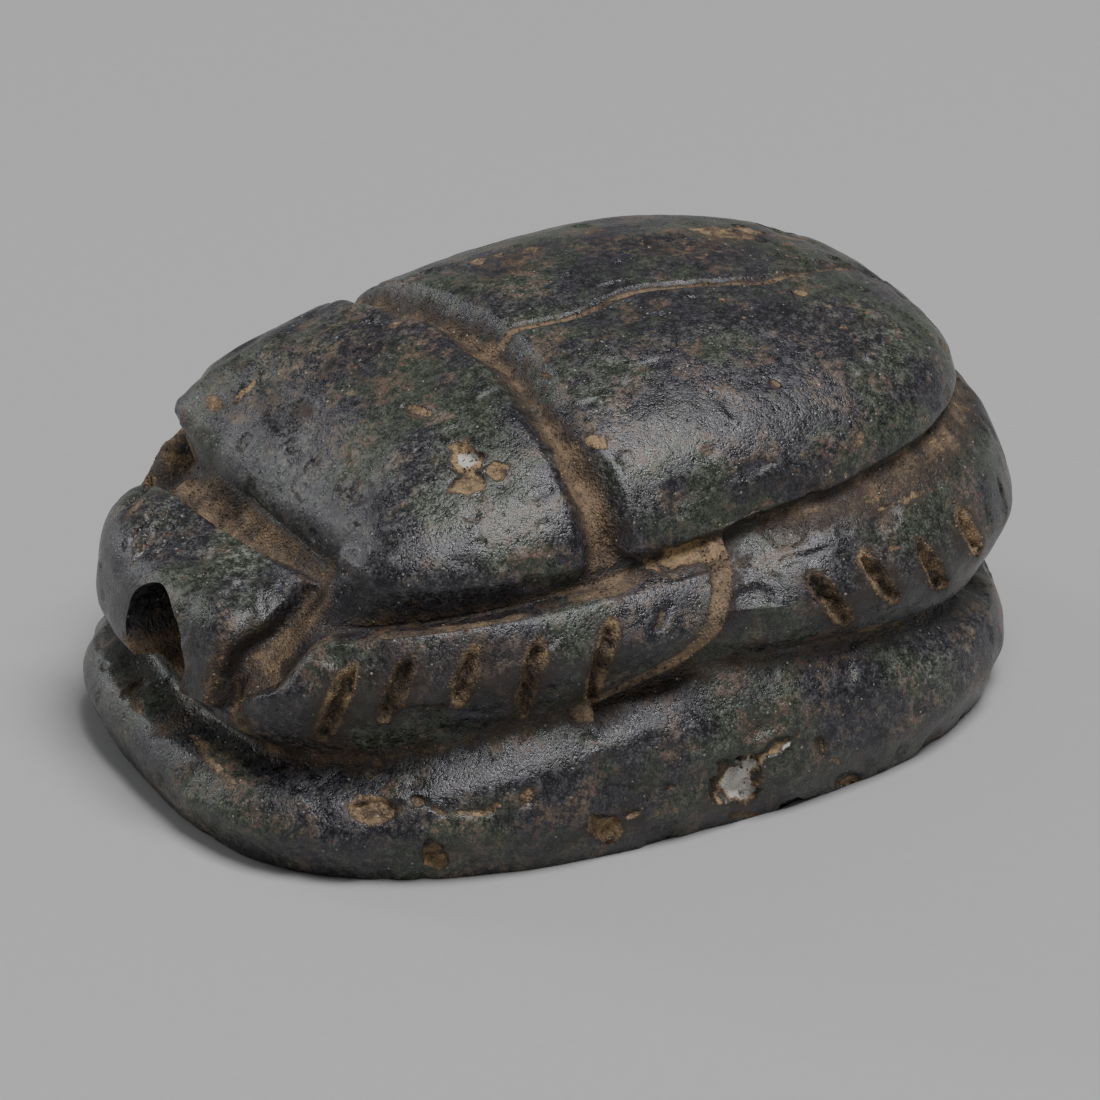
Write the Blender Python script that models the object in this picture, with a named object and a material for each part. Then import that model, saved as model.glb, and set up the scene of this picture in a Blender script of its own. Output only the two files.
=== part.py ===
"""Scarab amulet: a beetle on an oval base, carved from one stone and bored from head to tail.

+X points to the tail, +Z up, and the origin is the middle of the underside.
"""

import math

import bpy
import numpy as np

MM = 0.001

# Sizes of the stone
BASE_LENGTH = 20.0 * MM
BASE_WIDTH = 14.74 * MM
HEIGHT = 9.45 * MM
OUTLINE_POWER = 2.48

# The bore, drilled by hand and so a little off the middle
BORE_DIAMETER = 2.4 * MM
BORE_HEIGHT = 3.85 * MM
BORE_ASIDE = -0.35 * MM
BORE_SIDES = 28
MOUTH_WIDTH = 2.3 * MM
MOUTH_HEIGHT = 3.0 * MM
MOUTH_DEPTH = 1.4 * MM
MOUTH_DROP = 0.3 * MM
MOUTH_SET_BACK = 0.2 * MM
MOUTH_SEGMENTS = 24

# How far the cutters reach past the stone, as a share of its size
REACH = 1.2

# Carved lines: full width and depth
WAIST_WIDTH = 1.25 * MM
WAIST_DEPTH = 0.52 * MM
SUTURE_WIDTH = 0.5 * MM
SUTURE_DEPTH = 0.13 * MM
ELBOW_WIDTH = 1.9 * MM
ELBOW_DEPTH = 0.42 * MM
ELBOW_EDGE = 0.3 * MM
NOTCH_WIDTH = 0.62 * MM
NOTCH_DEPTH = 0.26 * MM
NOTCH_TAPER = 0.25
FRONT_NOTCHES = 6
HIND_NOTCHES = 5
STROKE_STEPS = 7
LINE_STEPS = 40

# The head plate, raised over the legs: it sits a little to one side and its back edge runs askew
HEAD_RISE = 0.45 * MM
HEAD_BACK_RISE = 0.2 * MM
HEAD_EDGE = 0.4 * MM
HEAD_ASIDE = 1.05 * MM
HEAD_SKEW = 0.08
HEAD_TWIST = math.radians(8)

# Levels of the carved side, from the foot up. Each has how far out it stands, as a share of the
# outline, and how high, as a share of HEIGHT, at the stations from the head round to the tail.
STATIONS = np.radians((0, 27, 36, 46, 90, 135, 180))
FOOT = ((0.925, 0.94, 0.955, 0.96, 0.93, 0.93, 0.925), (-0.045,) * 7)
BASE_SWELL = ((0.99, 1.01, 1.025, 1.03, 1.0, 1.0, 0.995), (0.105,) * 7)
BASE_RIM = (
    (0.965, 0.97, 0.975, 0.978, 0.972, 0.972, 0.972),
    (0.185, 0.185, 0.185, 0.185, 0.261, 0.218, 0.203),
)
LOWER_GROOVE = (
    (0.87, 0.87, 0.875, 0.88, 0.88, 0.88, 0.885),
    (0.228, 0.225, 0.222, 0.243, 0.375, 0.294, 0.224),
)
LEG_UNDERSIDE = (
    (0.925, 0.925, 0.93, 0.93, 0.93, 0.94, 0.95),
    (0.345, 0.33, 0.28, 0.303, 0.438, 0.333, 0.288),
)
LEG_SWELL = (
    (0.925, 0.925, 0.935, 0.965, 0.98, 1.0, 1.015),
    (0.42, 0.41, 0.335, 0.42, 0.524, 0.466, 0.407),
)
LEG_CREST = (
    (0.90, 0.90, 0.895, 0.925, 0.90, 0.935, 0.975),
    (0.495, 0.505, 0.41, 0.55, 0.614, 0.61, 0.60),
)
UPPER_GROOVE = (
    (0.72, 0.775, 0.81, 0.82, 0.79, 0.845, 0.885),
    (0.565, 0.565, 0.53, 0.562, 0.642, 0.704, 0.688),
)
BACK_EDGE = (
    (0.665, 0.718, 0.785, 0.865, 0.815, 0.865, 0.895),
    (0.625, 0.625, 0.62, 0.63, 0.675, 0.741, 0.714),
)
BACK_FULLNESS = (3.0, 3.0, 3.1, 2.8, 2.4, 2.6, 2.9)
LEVELS = (
    FOOT,
    BASE_SWELL,
    BASE_RIM,
    LOWER_GROOVE,
    LEG_UNDERSIDE,
    LEG_SWELL,
    LEG_CREST,
    UPPER_GROOVE,
    BACK_EDGE,
)

# How far the cheeks and leg tips lean to the front at each level, on top of the twist of the head
LEANS = np.radians((0, 0, 0, 0, 11, 8, 1, -5, 0))
TWISTS = np.array((1, 1, 1, 1, 1, 1, 1, 1, 0)) * HEAD_TWIST

# The ridge of the arched back, as shares of HEIGHT at shares of the half length
RIDGE_PLACES = (-0.67, -0.45, -0.2, 0.1, 0.9)
RIDGE_HEIGHTS = (0.85, 0.905, 0.955, 1.0, 1.0)

# Rows of the mesh in the underside, in each span between two levels, and over the back
SPAN_ROWS = (4, 12, 8, 10, 8, 10, 8, 10, 8, 62)
SEGMENTS = 320
TRIANGLES = 9200

# How roundly the side passes through its levels, from 0 for flat steps
ROUNDNESS = 0.38

# Places of the carved lines, as shares of the half length, the half width and HEIGHT
WAIST_ACROSS = (-1.0, -0.5, 0.0, 0.35, 1.0)
WAIST_PLACES = (-0.18, -0.185, -0.165, -0.2, -0.23)
SUTURE_PLACES = (-0.17, 0.12, 0.45, 0.9)
SUTURE_ACROSS = (-0.04, -0.07, -0.12, 0.04)
ELBOW_HEIGHTS = (0.35, 0.385, 0.426, 0.46, 0.51, 0.58, 0.65)
ELBOW_PLACES = (-0.24, -0.15, -0.09, -0.03, 0.02, 0.062, 0.1)
ELBOW_ENDS = 0.055
HEAD_PLACES = (-0.95, -0.9, -0.82, -0.725)
HEAD_HALF_WIDTHS = (0.37, 0.43, 0.455, 0.46)
HEAD_UNDERSIDE = 0.34
HEAD_LIP = 0.03

# The first and the last stroke of each leg: places and heights of their tops and feet
FRONT_TOPS = ((-0.72, 0.548), (-0.10, 0.583))
FRONT_FEET = ((-0.80, 0.36), (-0.135, 0.415))
HIND_TOPS = ((0.24, 0.575), (0.86, 0.525))
HIND_FEET = ((0.35, 0.42), (0.93, 0.335))
BAND_TURNS = 541


def smooth_between(places, values, at):
    """A smooth curve through the values, level at both of its ends."""
    places = np.asarray(places, float)
    values = np.asarray(values, float)
    slopes = np.zeros(len(values))
    slopes[1:-1] = (values[2:] - values[:-2]) / (places[2:] - places[:-2])
    at = np.clip(at, places[0], places[-1])
    first = np.clip(np.searchsorted(places, at, side="right") - 1, 0, len(values) - 2)
    span = places[first + 1] - places[first]
    f = (at - places[first]) / span
    return (
        values[first] * (1 + 2 * f) * (1 - f) ** 2
        + slopes[first] * span * f * (1 - f) ** 2
        + values[first + 1] * f**2 * (3 - 2 * f)
        - slopes[first + 1] * span * f**2 * (1 - f)
    )


def outline_radius(turn):
    """Radius of the oval outline in a frame where both of its half axes are 1."""
    across = np.abs(np.cos(turn)) ** OUTLINE_POWER + np.abs(np.sin(turn)) ** OUTLINE_POWER
    return across ** (-1 / OUTLINE_POWER)


def from_head(turn, twist=0.0, lean=0.0):
    """The turn measured from the head, whose middle is turned aside by the twist."""
    aside = np.arctan2(-np.sin(turn), -np.cos(turn))
    forward = np.clip(-np.cos(turn), 0, 1)
    return np.abs(aside + twist * forward) + lean * forward


def side_levels(turn):
    """How far out and how high each level stands at each turn, as shares."""
    places = [from_head(turn, twist, lean) for twist, lean in zip(TWISTS, LEANS)]
    out = np.array([smooth_between(STATIONS, level[0], at) for level, at in zip(LEVELS, places)])
    up = np.array([smooth_between(STATIONS, level[1], at) for level, at in zip(LEVELS, places)])
    return out, up


def rounded(column, step):
    """Reads a column of level values at a fractional level, easing through each of them."""
    last = len(column) - 1
    low = np.clip(np.floor(step).astype(int), 0, last - 1)
    f = step - low
    points = [np.take_along_axis(column, np.clip(low + k, 0, last)[None], 0)[0] for k in (-1, 0, 1, 2)]
    before, start, end, after = points
    return (
        start * (1 + 2 * f) * (1 - f) ** 2
        + ROUNDNESS * (end - before) * f * (1 - f) ** 2
        + end * f**2 * (3 - 2 * f)
        - ROUNDNESS * (after - start) * f**2 * (1 - f)
    )


def stone_surface(turn, row):
    """Points of the uncarved form, as shares of the half axes and HEIGHT, for turns and mesh rows."""
    span = np.interp(row, np.concatenate(([0], np.cumsum(SPAN_ROWS))), np.arange(len(SPAN_ROWS) + 1))
    out, up = side_levels(turn)
    side_step = np.clip(span - 1, 0, len(LEVELS) - 1)
    share = rounded(out, side_step)
    height = rounded(up, side_step)
    underside = span < 1
    share = np.where(underside, span * out[0], share)

    climb = np.clip(span - len(LEVELS), 0, 1)
    inward = np.cos(climb * math.pi / 2)
    share = np.where(climb > 0, out[-1] * inward, share)
    radius = outline_radius(turn)
    x = share * radius * np.cos(turn)
    y = share * radius * np.sin(turn)
    ridge = smooth_between(RIDGE_PLACES, RIDGE_HEIGHTS, x)
    arch = np.sqrt(1 - inward ** smooth_between(STATIONS, BACK_FULLNESS, from_head(turn)))
    height = np.where(climb > 0, up[-1] + (ridge - up[-1]) * arch, height)
    return np.stack([x, y, height], axis=-1)


def half_axes():
    return np.array([BASE_LENGTH / 2, BASE_WIDTH / 2, HEIGHT])


def fade(value, start, end):
    """Rises smoothly from 0 at start to 1 at end."""
    f = np.clip((value - start) / (end - start), 0, 1)
    return f * f * (3 - 2 * f)


def line_cut(points, line, width, depth, taper=0.0):
    """Depth at each point of a round-bottomed cut along a line, shallower over the taper at its ends."""
    nearest = np.full(len(points), np.inf)
    place = np.zeros(len(points))
    runs = len(line) - 1
    for k in range(runs):
        run = line[k + 1] - line[k]
        along = np.clip((points - line[k]) @ run / (run @ run), 0, 1)
        gap = np.linalg.norm(points - line[k] - along[:, None] * run, axis=1)
        place = np.where(gap < nearest, (k + along) / runs, place)
        nearest = np.minimum(nearest, gap)
    across = np.clip(nearest / (width / 2), 0, 1)
    profile = depth * (1 - across**2) ** 2
    if taper:
        profile = profile * fade(np.minimum(place, 1 - place), -taper, taper)
    return profile


def leg_band(side):
    """A fine net of points over the legs of one side, as shares."""
    turns = side * np.linspace(0, math.pi, BAND_TURNS)
    rows = np.arange(sum(SPAN_ROWS[:4]), sum(SPAN_ROWS[:7]) + SPAN_ROWS[7] // 2)
    turn, row = np.meshgrid(turns, rows)
    return stone_surface(turn.ravel(), row.ravel())


def on_band(band, x_share, up_share):
    """The point of the band seen from the side at this share of the half length and HEIGHT."""
    away = ((band[:, ::2] - (x_share, up_share)) * half_axes()[::2]) ** 2
    nearest = band[np.argmin(away.sum(axis=1))]
    return nearest * half_axes()


def stroke(band, start, end):
    """A straight cut across the band, from start to end as seen from the side."""
    seen = np.linspace(start, end, STROKE_STEPS)
    return np.array([on_band(band, x, z) for x, z in seen])


def leg_notches(side):
    """The short strokes across both legs of one side."""
    band = leg_band(side)
    for top, foot in zip(np.linspace(*FRONT_TOPS, FRONT_NOTCHES), np.linspace(*FRONT_FEET, FRONT_NOTCHES)):
        yield stroke(band, top, foot)
    for top, foot in zip(np.linspace(*HIND_TOPS, HIND_NOTCHES), np.linspace(*HIND_FEET, HIND_NOTCHES)):
        yield stroke(band, top, foot)


def smooth_line(places, values):
    """Points along the smooth curve through the values, as two columns."""
    fine = np.linspace(places[0], places[-1], LINE_STEPS)
    return np.stack([fine, smooth_between(places, values, fine)], axis=1)


def plan_cut(points, shares, width, depth):
    """Depth of a cut along a line given in plan by its x and y shares."""
    flat = np.column_stack([shares, np.zeros(len(shares))]) * half_axes()
    return line_cut(points * (1, 1, 0), flat, width, depth)


def elbow_cut(points):
    """Depth of the step down behind each front leg, deepest at the leg's rear edge."""
    half_length, half_width, height = half_axes()
    edge = np.interp(points[:, 2] / height, ELBOW_HEIGHTS, ELBOW_PLACES) * half_length
    behind = points[:, 0] - edge
    depth = fade(behind, -ELBOW_EDGE / 2, ELBOW_EDGE / 2) * fade(behind, ELBOW_WIDTH, 0)
    share = points[:, 2] / height
    foot = fade(share, ELBOW_HEIGHTS[0], ELBOW_HEIGHTS[0] + ELBOW_ENDS)
    top = fade(share, ELBOW_HEIGHTS[-1], ELBOW_HEIGHTS[-1] - ELBOW_ENDS)
    return ELBOW_DEPTH * depth * foot * top


def head_rise(points):
    """How far the head plate stands up at each point, with a soft edge all round it."""
    half_length, half_width, height = half_axes()
    x_share = points[:, 0] / half_length
    half = np.interp(x_share, HEAD_PLACES, HEAD_HALF_WIDTHS) * half_width
    from_side = half - np.abs(points[:, 1] - HEAD_ASIDE)
    from_back = HEAD_PLACES[-1] * half_length - HEAD_SKEW * points[:, 1] - points[:, 0]
    inside = np.minimum(from_side, from_back)
    lip = fade(points[:, 2] / height, HEAD_UNDERSIDE - HEAD_LIP, HEAD_UNDERSIDE)
    forward = fade(x_share, HEAD_PLACES[-1], HEAD_PLACES[1])
    rise = HEAD_BACK_RISE + (HEAD_RISE - HEAD_BACK_RISE) * forward
    return rise * fade(inside, -HEAD_EDGE / 2, HEAD_EDGE / 2) * lip


def carved_depth(points):
    """How deep the carved lines cut the stone at each of its points."""
    size = half_axes()
    turn = np.arctan2(points[:, 1] / size[1], points[:, 0] / size[0])
    up = side_levels(turn)[1]
    height_share = points[:, 2] / HEIGHT
    on_back = fade(height_share, up[-2], up[-1])
    waist_line = smooth_line(WAIST_ACROSS, WAIST_PLACES)[:, ::-1]
    waist = plan_cut(points, waist_line, WAIST_WIDTH, WAIST_DEPTH)
    suture_line = smooth_line(SUTURE_PLACES, SUTURE_ACROSS)
    suture = plan_cut(points, suture_line, SUTURE_WIDTH, SUTURE_DEPTH)
    cut = np.maximum(waist, suture) * on_back
    cut = np.maximum(cut, elbow_cut(points))
    for side in (-1, 1):
        for notch in leg_notches(side):
            cut = np.maximum(cut, line_cut(points, notch, NOTCH_WIDTH, NOTCH_DEPTH, NOTCH_TAPER))
    return cut


def clear_scene():
    for thing in list(bpy.data.objects):
        bpy.data.objects.remove(thing)


def new_collection(name, hidden):
    collection = bpy.data.collections.new(name)
    bpy.context.scene.collection.children.link(collection)
    collection.hide_render = hidden
    return collection


def into(collection, thing):
    """Moves an object out of its collections and into this one."""
    for other in list(thing.users_collection):
        other.objects.unlink(thing)
    collection.objects.link(thing)
    return thing


def stone_material():
    material = bpy.data.materials.new("dark glazed stone")
    material.use_nodes = True
    surface = material.node_tree.nodes["Principled BSDF"]
    surface.inputs["Base Color"].default_value = (0.035, 0.036, 0.033, 1)
    surface.inputs["Roughness"].default_value = 0.45
    surface.inputs["Metallic"].default_value = 0.0
    return material


def carve_stone():
    """The beetle as a sphere whose points are moved onto the carved form."""
    rows = sum(SPAN_ROWS)
    bpy.ops.mesh.primitive_uv_sphere_add(segments=SEGMENTS, ring_count=rows, radius=1)
    stone = bpy.context.object
    stone.name = "scarab"
    mesh = stone.data
    ball = np.empty(len(mesh.vertices) * 3)
    mesh.vertices.foreach_get("co", ball)
    ball = ball.reshape(-1, 3)
    turn = np.arctan2(ball[:, 1], ball[:, 0])
    row = np.arccos(np.clip(-ball[:, 2], -1, 1)) / math.pi * rows
    points = stone_surface(turn, row) * half_axes()
    mesh.vertices.foreach_set("co", points.ravel())
    mesh.update()
    normals = np.empty(len(mesh.vertices) * 3)
    mesh.vertices.foreach_get("normal", normals)
    points += normals.reshape(-1, 3) * (head_rise(points) - carved_depth(points))[:, None]
    mesh.vertices.foreach_set("co", points.ravel())
    mesh.update()
    mesh.shade_smooth()
    mesh.materials.append(stone_material())
    return stone


def bore_cutter():
    """The straight bore along X."""
    bpy.ops.mesh.primitive_cylinder_add(
        vertices=BORE_SIDES,
        radius=BORE_DIAMETER / 2,
        depth=BASE_LENGTH * REACH,
        location=(0, BORE_ASIDE, BORE_HEIGHT),
        rotation=(0, math.pi / 2, 0),
    )
    cutter = bpy.context.object
    cutter.name = "bore_cutter"
    return cutter


def mouth_cutter():
    """The worn mouth of the bore under the head."""
    bpy.ops.mesh.primitive_uv_sphere_add(segments=MOUTH_SEGMENTS, ring_count=MOUTH_SEGMENTS // 2, radius=0.5)
    cutter = bpy.context.object
    cutter.name = "mouth_cutter"
    cutter.location = (MOUTH_SET_BACK - BASE_LENGTH / 2, BORE_ASIDE, BORE_HEIGHT - MOUTH_DROP)
    cutter.scale = (2 * MOUTH_DEPTH, MOUTH_WIDTH, MOUTH_HEIGHT)
    return cutter


def underside_cutter():
    """A block whose top face is the flat underside."""
    depth = HEIGHT / 4
    bpy.ops.mesh.primitive_cube_add(size=1, location=(0, 0, -depth / 2))
    cutter = bpy.context.object
    cutter.name = "underside_cutter"
    cutter.scale = (BASE_LENGTH * REACH, BASE_WIDTH * REACH, depth)
    return cutter


def cut(stone, cutter, helpers):
    """Takes the cutter's volume out of the stone."""
    into(helpers, cutter)
    cutter.hide_render = True
    cutter.display_type = "WIRE"
    step = stone.modifiers.new(cutter.name, "BOOLEAN")
    step.operation = "DIFFERENCE"
    step.solver = "EXACT"
    step.object = cutter


def main():
    clear_scene()
    amulet = new_collection("scarab amulet", False)
    helpers = new_collection("cutters", True)
    stone = into(amulet, carve_stone())
    fewer = stone.modifiers.new("fewer faces", "DECIMATE")
    fewer.ratio = TRIANGLES / sum(len(face.vertices) - 2 for face in stone.data.polygons)
    cut(stone, underside_cutter(), helpers)
    cut(stone, bore_cutter(), helpers)
    cut(stone, mouth_cutter(), helpers)


main()
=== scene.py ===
"""Carved stone scarab amulet with its dark glaze, earth and chips, on a plain floor.

It runs as a script. The Scarab tab in the 3D view's sidebar lists what it makes.
"""

import math
from itertools import product

import bmesh
import bpy
import numpy as np
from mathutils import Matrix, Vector
from mathutils.bvhtree import BVHTree


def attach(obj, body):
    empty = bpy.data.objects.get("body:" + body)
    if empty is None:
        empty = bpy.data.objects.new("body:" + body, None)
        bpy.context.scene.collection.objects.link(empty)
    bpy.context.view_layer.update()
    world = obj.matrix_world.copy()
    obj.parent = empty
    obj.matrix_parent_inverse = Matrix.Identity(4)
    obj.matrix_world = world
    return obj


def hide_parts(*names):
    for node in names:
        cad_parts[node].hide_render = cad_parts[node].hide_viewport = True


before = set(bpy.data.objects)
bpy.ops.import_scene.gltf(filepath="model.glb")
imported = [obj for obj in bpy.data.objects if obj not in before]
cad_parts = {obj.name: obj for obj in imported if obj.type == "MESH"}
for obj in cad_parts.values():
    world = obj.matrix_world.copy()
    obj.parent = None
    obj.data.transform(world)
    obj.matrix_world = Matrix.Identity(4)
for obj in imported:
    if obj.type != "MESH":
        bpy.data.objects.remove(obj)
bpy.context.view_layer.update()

bl_info = {
    "name": "Scarab amulet",
    "version": (1, 0, 0),
    "blender": (4, 5, 0),
    "location": "3D View > Sidebar > Scarab",
    "description": "Makes a carved stone scarab amulet, its earth and its stage",
    "category": "Object",
}

# Lengths in this file are in millimetres until a mesh is finished
MM = 0.001

# The view of the photograph: its turn and tilt, and the pixel where the origin falls
PHOTO_SIZE = 1100
LOOK_ROUND = math.radians(28.3)
LOOK_DOWN = math.radians(28.0)
CAMERA_AWAY = 240.0
PIXELS_PER_MM = 46.29
ORIGIN_PIXEL = (549.0, 693.0)
SENSOR = 36.0
RIGHT = np.array((math.cos(LOOK_ROUND), -math.sin(LOOK_ROUND), 0.0))
BACK = np.array(
    (
        -math.sin(LOOK_ROUND) * math.cos(LOOK_DOWN),
        -math.cos(LOOK_ROUND) * math.cos(LOOK_DOWN),
        math.sin(LOOK_DOWN),
    )
)
UP = np.cross(BACK, RIGHT)

# The form of the stone, with the names and values that its solid has
OUTLINE_POWER = 2.48
HEAD_TWIST = math.radians(8)
STATIONS = np.radians((0, 27, 36, 46, 90, 135, 180))
FOOT = ((0.925, 0.94, 0.955, 0.96, 0.93, 0.93, 0.925), (-0.045,) * 7)
BASE_SWELL = ((0.99, 1.01, 1.025, 1.03, 1.0, 1.0, 0.995), (0.105,) * 7)
BASE_RIM = (
    (0.965, 0.97, 0.975, 0.978, 0.972, 0.972, 0.972),
    (0.185, 0.185, 0.185, 0.185, 0.261, 0.218, 0.203),
)
LOWER_GROOVE = (
    (0.87, 0.87, 0.875, 0.88, 0.88, 0.88, 0.885),
    (0.228, 0.225, 0.222, 0.243, 0.375, 0.294, 0.224),
)
LEG_UNDERSIDE = (
    (0.925, 0.925, 0.93, 0.93, 0.93, 0.94, 0.95),
    (0.345, 0.33, 0.28, 0.303, 0.438, 0.333, 0.288),
)
LEG_SWELL = (
    (0.925, 0.925, 0.935, 0.965, 0.98, 1.0, 1.015),
    (0.42, 0.41, 0.335, 0.42, 0.524, 0.466, 0.407),
)
LEG_CREST = (
    (0.90, 0.90, 0.895, 0.925, 0.90, 0.935, 0.975),
    (0.495, 0.505, 0.41, 0.55, 0.614, 0.61, 0.60),
)
UPPER_GROOVE = (
    (0.72, 0.775, 0.815, 0.838, 0.795, 0.845, 0.885),
    (0.565, 0.565, 0.53, 0.562, 0.642, 0.704, 0.688),
)
BACK_EDGE = (
    (0.665, 0.718, 0.785, 0.862, 0.815, 0.865, 0.895),
    (0.625, 0.632, 0.653, 0.668, 0.68, 0.741, 0.714),
)
LEVELS = (
    FOOT,
    BASE_SWELL,
    BASE_RIM,
    LOWER_GROOVE,
    LEG_UNDERSIDE,
    LEG_SWELL,
    LEG_CREST,
    UPPER_GROOVE,
    BACK_EDGE,
)
LEANS = np.radians((0, 0, 0, 0, 11, 8, 1, -5, 0))
TWISTS = np.array((1, 1, 1, 1, 1, 1, 1, 1, 0)) * HEAD_TWIST
BACK_FULLNESS = (3.0, 3.0, 3.1, 2.8, 2.4, 2.6, 2.9)
RIDGE_PLACES = (-0.67, -0.45, -0.2, 0.1, 0.9)
RIDGE_HEIGHTS = (0.85, 0.905, 0.955, 1.0, 1.0)
ROUNDNESS = 0.38
LEAST_STEP = 0.0005
HEAD_PLACES = (-0.95, -0.9, -0.82, -0.725)
HEAD_HALF_WIDTHS = (0.42, 0.48, 0.49, 0.495)
HEAD_UNDERSIDE = 0.34
HEAD_LIP = 0.03
HEAD_ASIDE = 1.05
HEAD_SKEW = 0.08
HEAD_EDGE = 0.1
HEAD_RISES = (0.26, 0.48)
HEAD_FOOT_CUT = 0.2
HEAD_FOOT_WIDTH = 0.7
ELBOW_HEIGHTS = (0.35, 0.385, 0.426, 0.46, 0.51, 0.58, 0.65)
ELBOW_PLACES = (-0.24, -0.15, -0.09, -0.03, 0.02, 0.062, 0.1)
ELBOW_FOOT = (0.27, 0.43)
ELBOW_TOP = (0.62, 0.69)
ELBOW_EDGE = 0.07
ELBOW_REACH = 2.6
ELBOW_DEPTH = 0.5
ELBOW_LIP = 0.12
WAIST_ACROSS = (-1.0, -0.5, 0.0, 0.35, 1.0)
WAIST_PLACES = (-0.18, -0.185, -0.165, -0.2, -0.23)
WAIST_HALF = 0.66
WAIST_DEPTH = 0.56
SUTURE_HALF = 0.19
SUTURE_DEPTH = 0.12
SUTURE_PLACES = (-0.17, 0.035, 0.12, 0.2, 0.33, 0.47, 0.82, 0.92)
SUTURE_ACROSS = (-0.03, -0.10, -0.07, -0.06, -0.095, -0.12, 0.04, 0.05)

# The bore for stringing, and its worn mouth below the head
BORE_WIDTH = 2.4
BORE_LENGTH = 24.0
BORE_SEGMENTS = 72
BORE_ASIDE = -0.35
BORE_HEIGHT = 3.85
MOUTH_REACH = (1.5, 1.2, 1.55)
MOUTH_PLACE = (-9.8, -0.4, 3.55)
MOUTH_WEAR = 0.16

# Rows of the mesh: a coarse net to cast on, and a fine one that is carved
NET_ROWS = (4, 12, 8, 10, 8, 10, 8, 10, 8, 62)
NET_SEGMENTS = 240
FINE = 3
STONE_TRIANGLES = 185000

# Leg strokes as the photograph shows them: top and foot of each, in its pixels
FRONT_STROKES = (
    ((352, 668), (322, 738)),
    ((410, 660), (384, 718)),
    ((474, 652), (458, 706)),
    ((540, 642), (522, 716)),
    ((613, 624), (592, 702)),
    ((664, 606), (658, 632)),
)
HIND_STROKES = (
    ((811, 574), (848, 622)),
    ((863, 555), (893, 598)),
    ((918, 542), (944, 588)),
    ((958, 512), (979, 550)),
    ((996, 478), (1003, 500)),
)
HEAD_STROKES = (
    ((150, 485), (126, 506)),
    ((142, 500), (122, 522)),
    ((156, 505), (124, 548)),
    ((167, 511), (129, 566)),
    ((179, 520), (152, 556)),
    ((192, 532), (172, 560)),
    ((209, 560), (195, 594)),
)
STROKE_STEPS = 15
STROKE_TIP = 0.28
STROKE_WALL = 0.12
STROKE_WANDER = 2600.0
STROKE_NEAR = 2.2
FULL_STROKE = 1.25
PAINTED_STROKE = 1.0
HEAD_STROKE_SHARE = 0.42

# Where a patch or a stroke is too far off to count
FAR = 9.0
PATCH_MARGIN = 0.3

# Tears in a patch's edge and waves of the worked surface: strength or height, lump size, seed
EDGE_TEARS = ((0.45, 0.5, 3), (0.25, 0.17, 4))
LINE_WANDER = ((0.09, 1.1, 11), (0.03, 0.4, 12))
SURFACE_WAVES = ((0.055, 4.2, 21), (0.036, 1.7, 22), (0.02, 0.7, 23))

# Powers that shape the walls of the waist groove and of the suture
WAIST_WALL = (1.5, 1.7)
SUTURE_WALL = (2, 1.5)

# Bands of earth, in levels of the form or in millimetres: middle, outer and inner half width
COLLAR_BAND = (0.5, 0.56, 0.05)
FRONT_BAND = (6.65, 0.9, 0.2)
HIND_BAND = (6.9, 1.1, 0.2)
LOWER_BAND = (3.05, 0.6, 0.05)
LIP_BAND = (-0.25, 0.42, 0.16)

# Turns from the head, in degrees, between which earth lies along the front and the hind leg
FRONT_TURNS = (35, 42, 90, 78)
HIND_TURNS = (96, 108)

# Sizes of the lumps in the glaze, and the share that each has in its light and dark
BROAD, MIDDLE, TUFT, SMALL, FINE_GRAIN = 2.4, 1.0, 0.5, 0.2, 0.055
FINE_SHADE, SMALL_SHADE, BROAD_SHADE, MIDDLE_SHADE = 3.8, 3.4, 1.6, 2.4
SHADE_START = -4.6
DARKEST = 0.2
# Colour of the pale specks, which are partly painted glints
SPECK_AND_GLINT_COLOUR = (0.5, 0.47, 0.4, 1.0)
TORN_SIZE = 0.26
BUMP_DEPTH = 0.045

# Chips: centre, width and height in the photograph's pixels, turn in degrees, depth in millimetres
CHIPS = (
    ((468, 460), (40, 34), 0, 0.24),
    ((472, 480), (46, 26), -12, 0.12),
    ((494, 468), (26, 24), 0, 0.1),
    ((418, 410), (30, 11), 15, 0.07),
    ((740, 783), (50, 50), 15, 0.26),
    ((778, 746), (44, 14), -35, 0.12),
    ((822, 747), (12, 26), -15, 0.1),
    ((375, 810), (42, 26), 5, 0.14),
    ((418, 800), (15, 16), -30, 0.09),
    ((438, 810), (20, 9), 25, 0.06),
    ((470, 813), (26, 9), 0, 0.06),
    ((495, 808), (22, 10), -30, 0.07),
    ((526, 798), (18, 22), 20, 0.1),
    ((432, 855), (30, 34), 0, 0.22),
    ((605, 826), (32, 30), 0, 0.2),
    ((634, 815), (20, 8), -20, 0.06),
    ((670, 788), (14, 11), 0, 0.07),
    ((850, 781), (26, 12), -15, 0.1),
    ((828, 595), (22, 28), 35, 0.1),
    ((800, 293), (18, 8), 10, 0.07),
    ((775, 383), (13, 8), 30, 0.06),
    ((248, 388), (34, 9), -45, 0.06),
    ((243, 606), (30, 22), -20, 0.1),
    ((795, 806), (20, 14), -10, 0.14),
)

# White stone in the deepest chips: centre, size, turn and strength
WHITE_CORES = (
    ((467, 460), (24, 15), 8, 0.9),
    ((739, 782), (40, 42), 12, 0.9),
    ((786, 747), (18, 5), -35, 0.8),
)

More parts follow.
